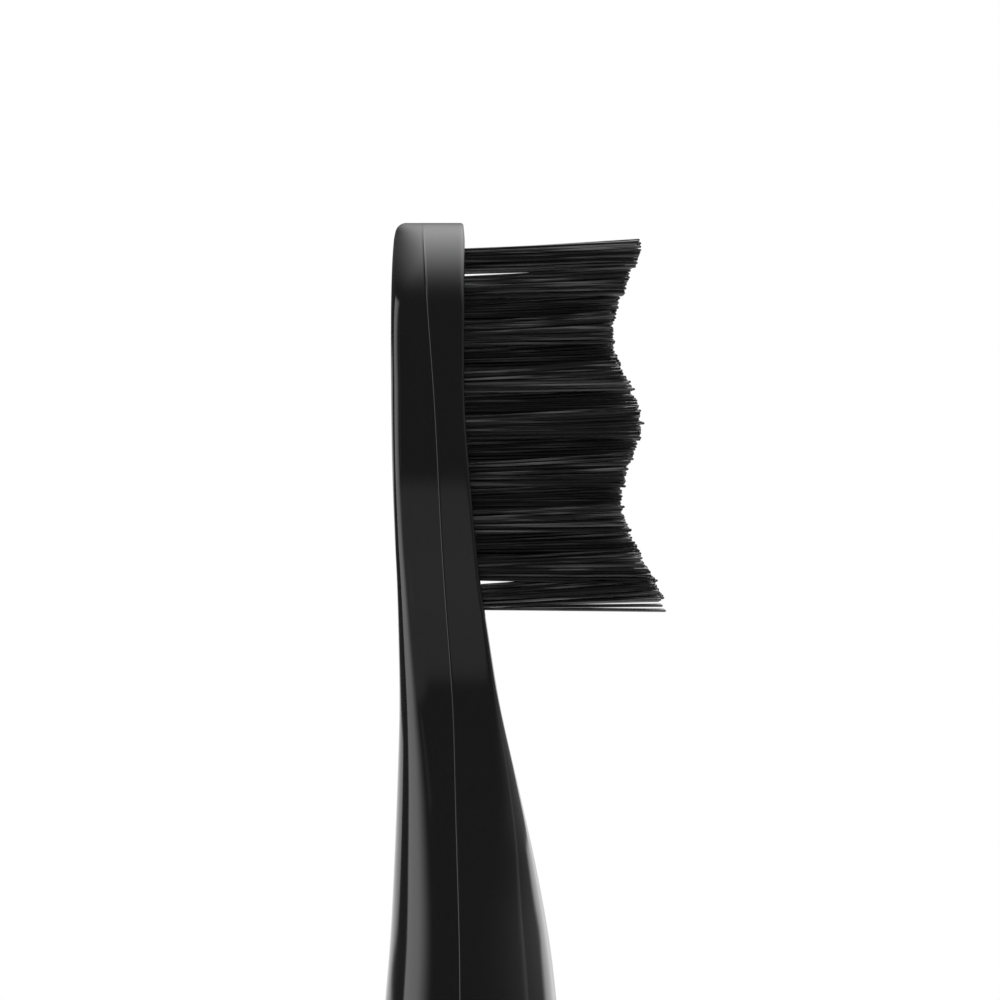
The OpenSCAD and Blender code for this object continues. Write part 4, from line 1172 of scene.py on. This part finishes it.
def skin_point(d, turn, sides):
    """A point of the shell, d below the tip. Turns count round from the middle of the face, and the
    turns at a quarter and at three quarters lie on the parting line, which stands up a little."""
    back = curve(head_outline, d, 1) + round_over(d, 0.55)
    front = face_x(d) - round_over(d, 0.2)
    side = half_width(d)
    middle, deep = (back + front) / 2, (front - back) / 2
    ridge_height, ridge_foot, ridge_margin, sparse = 0.045, 0.05, 0.15, 0.25
    half = sides // 2
    count = turn if turn <= half else sides - turn
    quarter = half // 2
    radius = curve(head_outline, d, 5 if count < quarter else 4)
    p, q = corner_share(radius, deep), corner_share(radius, side)
    parting = curve(parting_line, d, 1) - middle
    if abs(count - quarter) <= 1:
        angle = math.atan2(deep, parting - ridge_foot * (count - quarter))
    else:
        # Round the corner the turns lie close together, and along the flat sides they are sparse
        toward, turns = (1, count) if count < quarter else (-1, half - count)
        end = math.atan2(deep, toward * parting + ridge_margin)
        low = math.atan(1 - q)
        high = min(math.pi / 2 - math.atan(1 - p), end)
        total = high - low + sparse * (low + end - high)
        at = total * turns / (quarter - 2)
        if at < sparse * low:
            angle = at / sparse
        elif at < sparse * low + high - low:
            angle = at - sparse * low + low
        else:
            angle = end - (total - at) / sparse
        angle = angle if count < quarter else math.pi - angle
    reach = corner_reach(angle, p, q)
    x = middle + deep * reach * math.cos(angle)
    width = side * reach * math.sin(angle) + (ridge_height * min(1, side / 2) if count == quarter else 0)
    return Vector((x, width if turn <= half else -width, brush_tip - d)) * MM


def ring_edges(verts):
    ring = set(verts)
    return [e for e in {e for v in verts for e in v.link_edges} if set(e.verts) <= ring]


def next_ring(bm, verts, placed):
    """Extrudes a ring of vertices and puts each new one where placed(turn) says."""
    made = bmesh.ops.extrude_edge_only(bm, edges=ring_edges(verts))["geom"]
    fresh = [v for v in made if isinstance(v, bmesh.types.BMVert)]
    for v in fresh:
        v.co = placed(v[turn_layer])
    return fresh


gloss_black, shader = new_finish("gloss_black", (0.009, 0.009, 0.009), 0.09)
haze = new_node(gloss_black, "ShaderNodeTexNoise", Scale=260.0, Detail=4.0)
ripple = new_node(gloss_black, "ShaderNodeTexNoise", Scale=150.0, Detail=1.0)
ripple_bump = new_node(gloss_black, "ShaderNodeBump", Strength=0.25, Distance=0.02 * MM)
link(gloss_black, object_place(gloss_black), haze.inputs["Vector"])
link(gloss_black, object_place(gloss_black), ripple.inputs["Vector"])
sheen_from(gloss_black, haze.outputs["Fac"], shader, 0.06, 0.13)
link(gloss_black, ripple.outputs["Fac"], ripple_bump.inputs["Height"])
link(gloss_black, ripple_bump.outputs["Normal"], shader.inputs["Normal"])

sides = 168
shell_seat = head_length - ring_height - 0.05
depths = [tip_round * (1 - math.cos(math.pi / 2 * k / 30)) for k in range(1, 31)]
depths += [tip_round + (shell_seat - tip_round) * k / 84 for k in range(1, 85)]
bm = bmesh.new()
turn_layer = bm.verts.layers.int.new("turn")
ring = bmesh.ops.create_circle(bm, segments=sides, radius=1)["verts"]
for turn, v in enumerate(ring):
    v[turn_layer] = turn
    v.co = skin_point(0, turn, sides)
tip_ring = list(ring)
for d in depths:
    ring = next_ring(bm, ring, lambda turn, d=d: skin_point(d, turn, sides))

# The bore: a wide seat for the ring's spigot, and above it the hole for the socket
socket_radius, socket_top = 4.2, 25.3
spigot_radius, spigot_top = 6.3, 6.1


def bore(radius, height):
    """Places a ring of the bore, height above the head's base."""
    z = brush_tip - head_length + height

    def placed(turn):
        angle = 2 * math.pi * turn / sides
        return Vector((radius * math.cos(angle), radius * math.sin(angle), z)) * MM

    return placed


for radius, height in [
    (spigot_radius + 0.1, ring_height + 0.05), (spigot_radius, ring_height + 0.2),
    (spigot_radius, spigot_top), (socket_radius, spigot_top), (socket_radius, socket_top),
]:
    ring = next_ring(bm, ring, bore(radius, height))
bmesh.ops.contextual_create(bm, geom=ring_edges(ring))
bmesh.ops.remove_doubles(bm, verts=tip_ring, dist=1e-7)
bmesh.ops.recalc_face_normals(bm, faces=bm.faces)
if bm.calc_volume(signed=True) < 0:
    bmesh.ops.reverse_faces(bm, faces=bm.faces)
head = object_from(bm, "brush_head_shell", gloss_black, sharp=50)
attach(head, "brush_head")
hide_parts("head_shell")


# ---------- bristles ----------
# Each tuft is a bundle of black nylon filaments, folded over a metal anchor and driven into its hole.
# The end rows stand alone and the rows between are staggered. The trim is a long wave along the head.

row_count = 15
row_pitch = 1.5
column_pitch = 3.7
tuft_radius = 0.76
filament_radius = 0.09
filaments_per_tuft = 42
bristle_length = 11.4
# [depth below the tip, how far the tips stand beyond the bristle length]
trim_outline = [[-2, 0.4], [1, 0], [7.2, -2], [12.8, -0.2], [18.1, -1.45], [24.3, 1.2], [27, 1.9]]
anchor_depth = 0.6
golden_turn = math.radians(137.5)


def row_depth(i):
    if i == 0:
        return 2.5
    if i == row_count - 1:
        return 6.1 + (row_count - 3) * row_pitch
    return 4.3 + (i - 1) * row_pitch


def row_sides(i):
    side = min(column_pitch, half_width(row_depth(i)) - 1.6)
    if 0 < i < row_count - 1 and i % 2 == 0:
        return [-column_pitch / 2, column_pitch / 2]
    return [-side, 0, side]


def trim_x(d):
    return -0.4 + bristle_length + curve(trim_outline, d, 1)


# Painted highlight streaks: a noise drawn out along the filaments makes a random share of them pale grey.
# These stand in for the thin highlights along the tufts, and black nylon itself is much darker.
nylon, shader = new_finish("black_nylon", (0.016, 0.016, 0.016), 0.22, Specular_IOR_Level=0.7)
stretch = new_node(nylon, "ShaderNodeMapping", Scale=(60, 4200, 4200))
painted_highlight_streaks = new_node(nylon, "ShaderNodeTexNoise", Scale=1.0, Detail=2.0)
painted_streak_ramp = new_node(nylon, "ShaderNodeValToRGB")
for k, (position, shade) in enumerate([(0.5, (0.01, 0.01, 0.01)), (0.72, (0.15, 0.15, 0.152))]):
    painted_streak_ramp.color_ramp.elements[k].position = position
    painted_streak_ramp.color_ramp.elements[k].color = (*shade, 1)
link(nylon, object_place(nylon), stretch.inputs["Vector"])
link(nylon, stretch.outputs["Vector"], painted_highlight_streaks.inputs["Vector"])
link(nylon, painted_highlight_streaks.outputs["Fac"], painted_streak_ramp.inputs["Fac"])
link(nylon, painted_streak_ramp.outputs["Color"], shader.inputs["Base Color"])

# One straight filament of unit length along +X, with a rounded end, that every strand is a copy of
filament_segments = 4
bm = bmesh.new()
upright = Matrix.Rotation(math.radians(90), 4, "Y")
ring = bmesh.ops.create_circle(
    bm, cap_ends=True, segments=5, radius=filament_radius, matrix=upright)["verts"]
for step in range(filament_segments + 1):
    made = bmesh.ops.extrude_edge_only(bm, edges=ring_edges(ring))["geom"]
    ring = [v for v in made if isinstance(v, bmesh.types.BMVert)]
    if step < filament_segments:
        bmesh.ops.translate(bm, verts=ring, vec=(1 / filament_segments, 0, 0))
    else:
        bmesh.ops.translate(bm, verts=ring, vec=(0.006, 0, 0))
        for v in ring:
            v.co.y *= 0.5
            v.co.z *= 0.5
bmesh.ops.contextual_create(bm, geom=ring_edges(ring))
bmesh.ops.recalc_face_normals(bm, faces=bm.faces)
filament = bpy.data.meshes.new("filament")
bm.to_mesh(filament)
bm.free()


def add_strand(bm, root, bend, length):
    """Copies the filament into a tuft. It starts at root, and its end is moved aside by bend."""
    start = len(bm.verts)
    bm.from_mesh(filament)
    bm.verts.ensure_lookup_table()
    for v in bm.verts[start:]:
        along = max(v.co.x, 0)
        aside = along**1.1
        v.co = Vector((
            root[0] + along * length,
            root[1] + v.co.y + bend[0] * aside,
            root[2] + v.co.z + bend[1] * aside,
        )) * MM


# How much each row's tufts fan out, beside the usual. Those at the gap near the tip stay slim, and so
# does the last row, which leans into the row before it and leaves a few strays behind.
row_fan = [0.55, 0.55] + [1] * (row_count - 4) + [1.5, 0.7]
last_row_lean = 4
stray_falls = [-0.12, 0.1, 0.32]

random.seed(11)
for i in range(row_count):
    d = row_depth(i)
    lean = math.tan(math.radians(last_row_lean if i == row_count - 1 else 2.7 - 1.6 * d / 24))
    bm = bmesh.new()
    for y in row_sides(i):
        for k in range(filaments_per_tuft):
            spread = math.sqrt((k + 0.5) / filaments_per_tuft)
            angle = k * golden_turn + random.uniform(-0.15, 0.15)
            off_y = (tuft_radius - 0.05) * spread * math.cos(angle)
            off_z = (tuft_radius - 0.05) * spread * math.sin(angle)
            root_x = face_x(d) - anchor_depth
            fan = random.uniform(0.3, 0.5) * row_fan[i]
            bend_z = 11 * lean + off_z * fan + random.gauss(0, 0.07)
            bend_y = off_y * fan + random.gauss(0, 0.07)
            tip_depth = d - off_z - bend_z
            length = trim_x(tip_depth) - root_x - 0.16 * off_z / tuft_radius + random.gauss(-0.05, 0.09)
            add_strand(bm, (root_x, y + off_y, brush_tip - d + off_z), (bend_y, bend_z), length)
        if i == row_count - 1:
            for stray, fall in enumerate(stray_falls):
                root = (root_x, y + 0.25 * stray, brush_tip - d - tuft_radius + 0.1 * stray)
                add_strand(bm, root, (0.2 * stray - 0.3, fall), trim_x(d + 1) - root[0] - 0.2 * stray)
    tufts = object_from(bm, f"bristles_row_{i + 1}", nylon)
    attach(tufts, "brush_head")
    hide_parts(f"tuft_row_{i + 1}")


# ---------- shaft socket ----------
# A white resin bush inside the head takes the shaft and its flat. A split sleeve of spring steel in it
# grips the shaft, and the tufts are held by small brass anchors.

dress("shaft_socket", white_resin)
dress("retaining_clip", spring_steel)
anchor_brass = grained(
    "anchor_brass", (0.6, 0.42, 0.16), 0.26, 0.16, grain=8000, depth=0.01, mottle=900, metallic=1.0)
dress("tuft_anchors", anchor_brass)
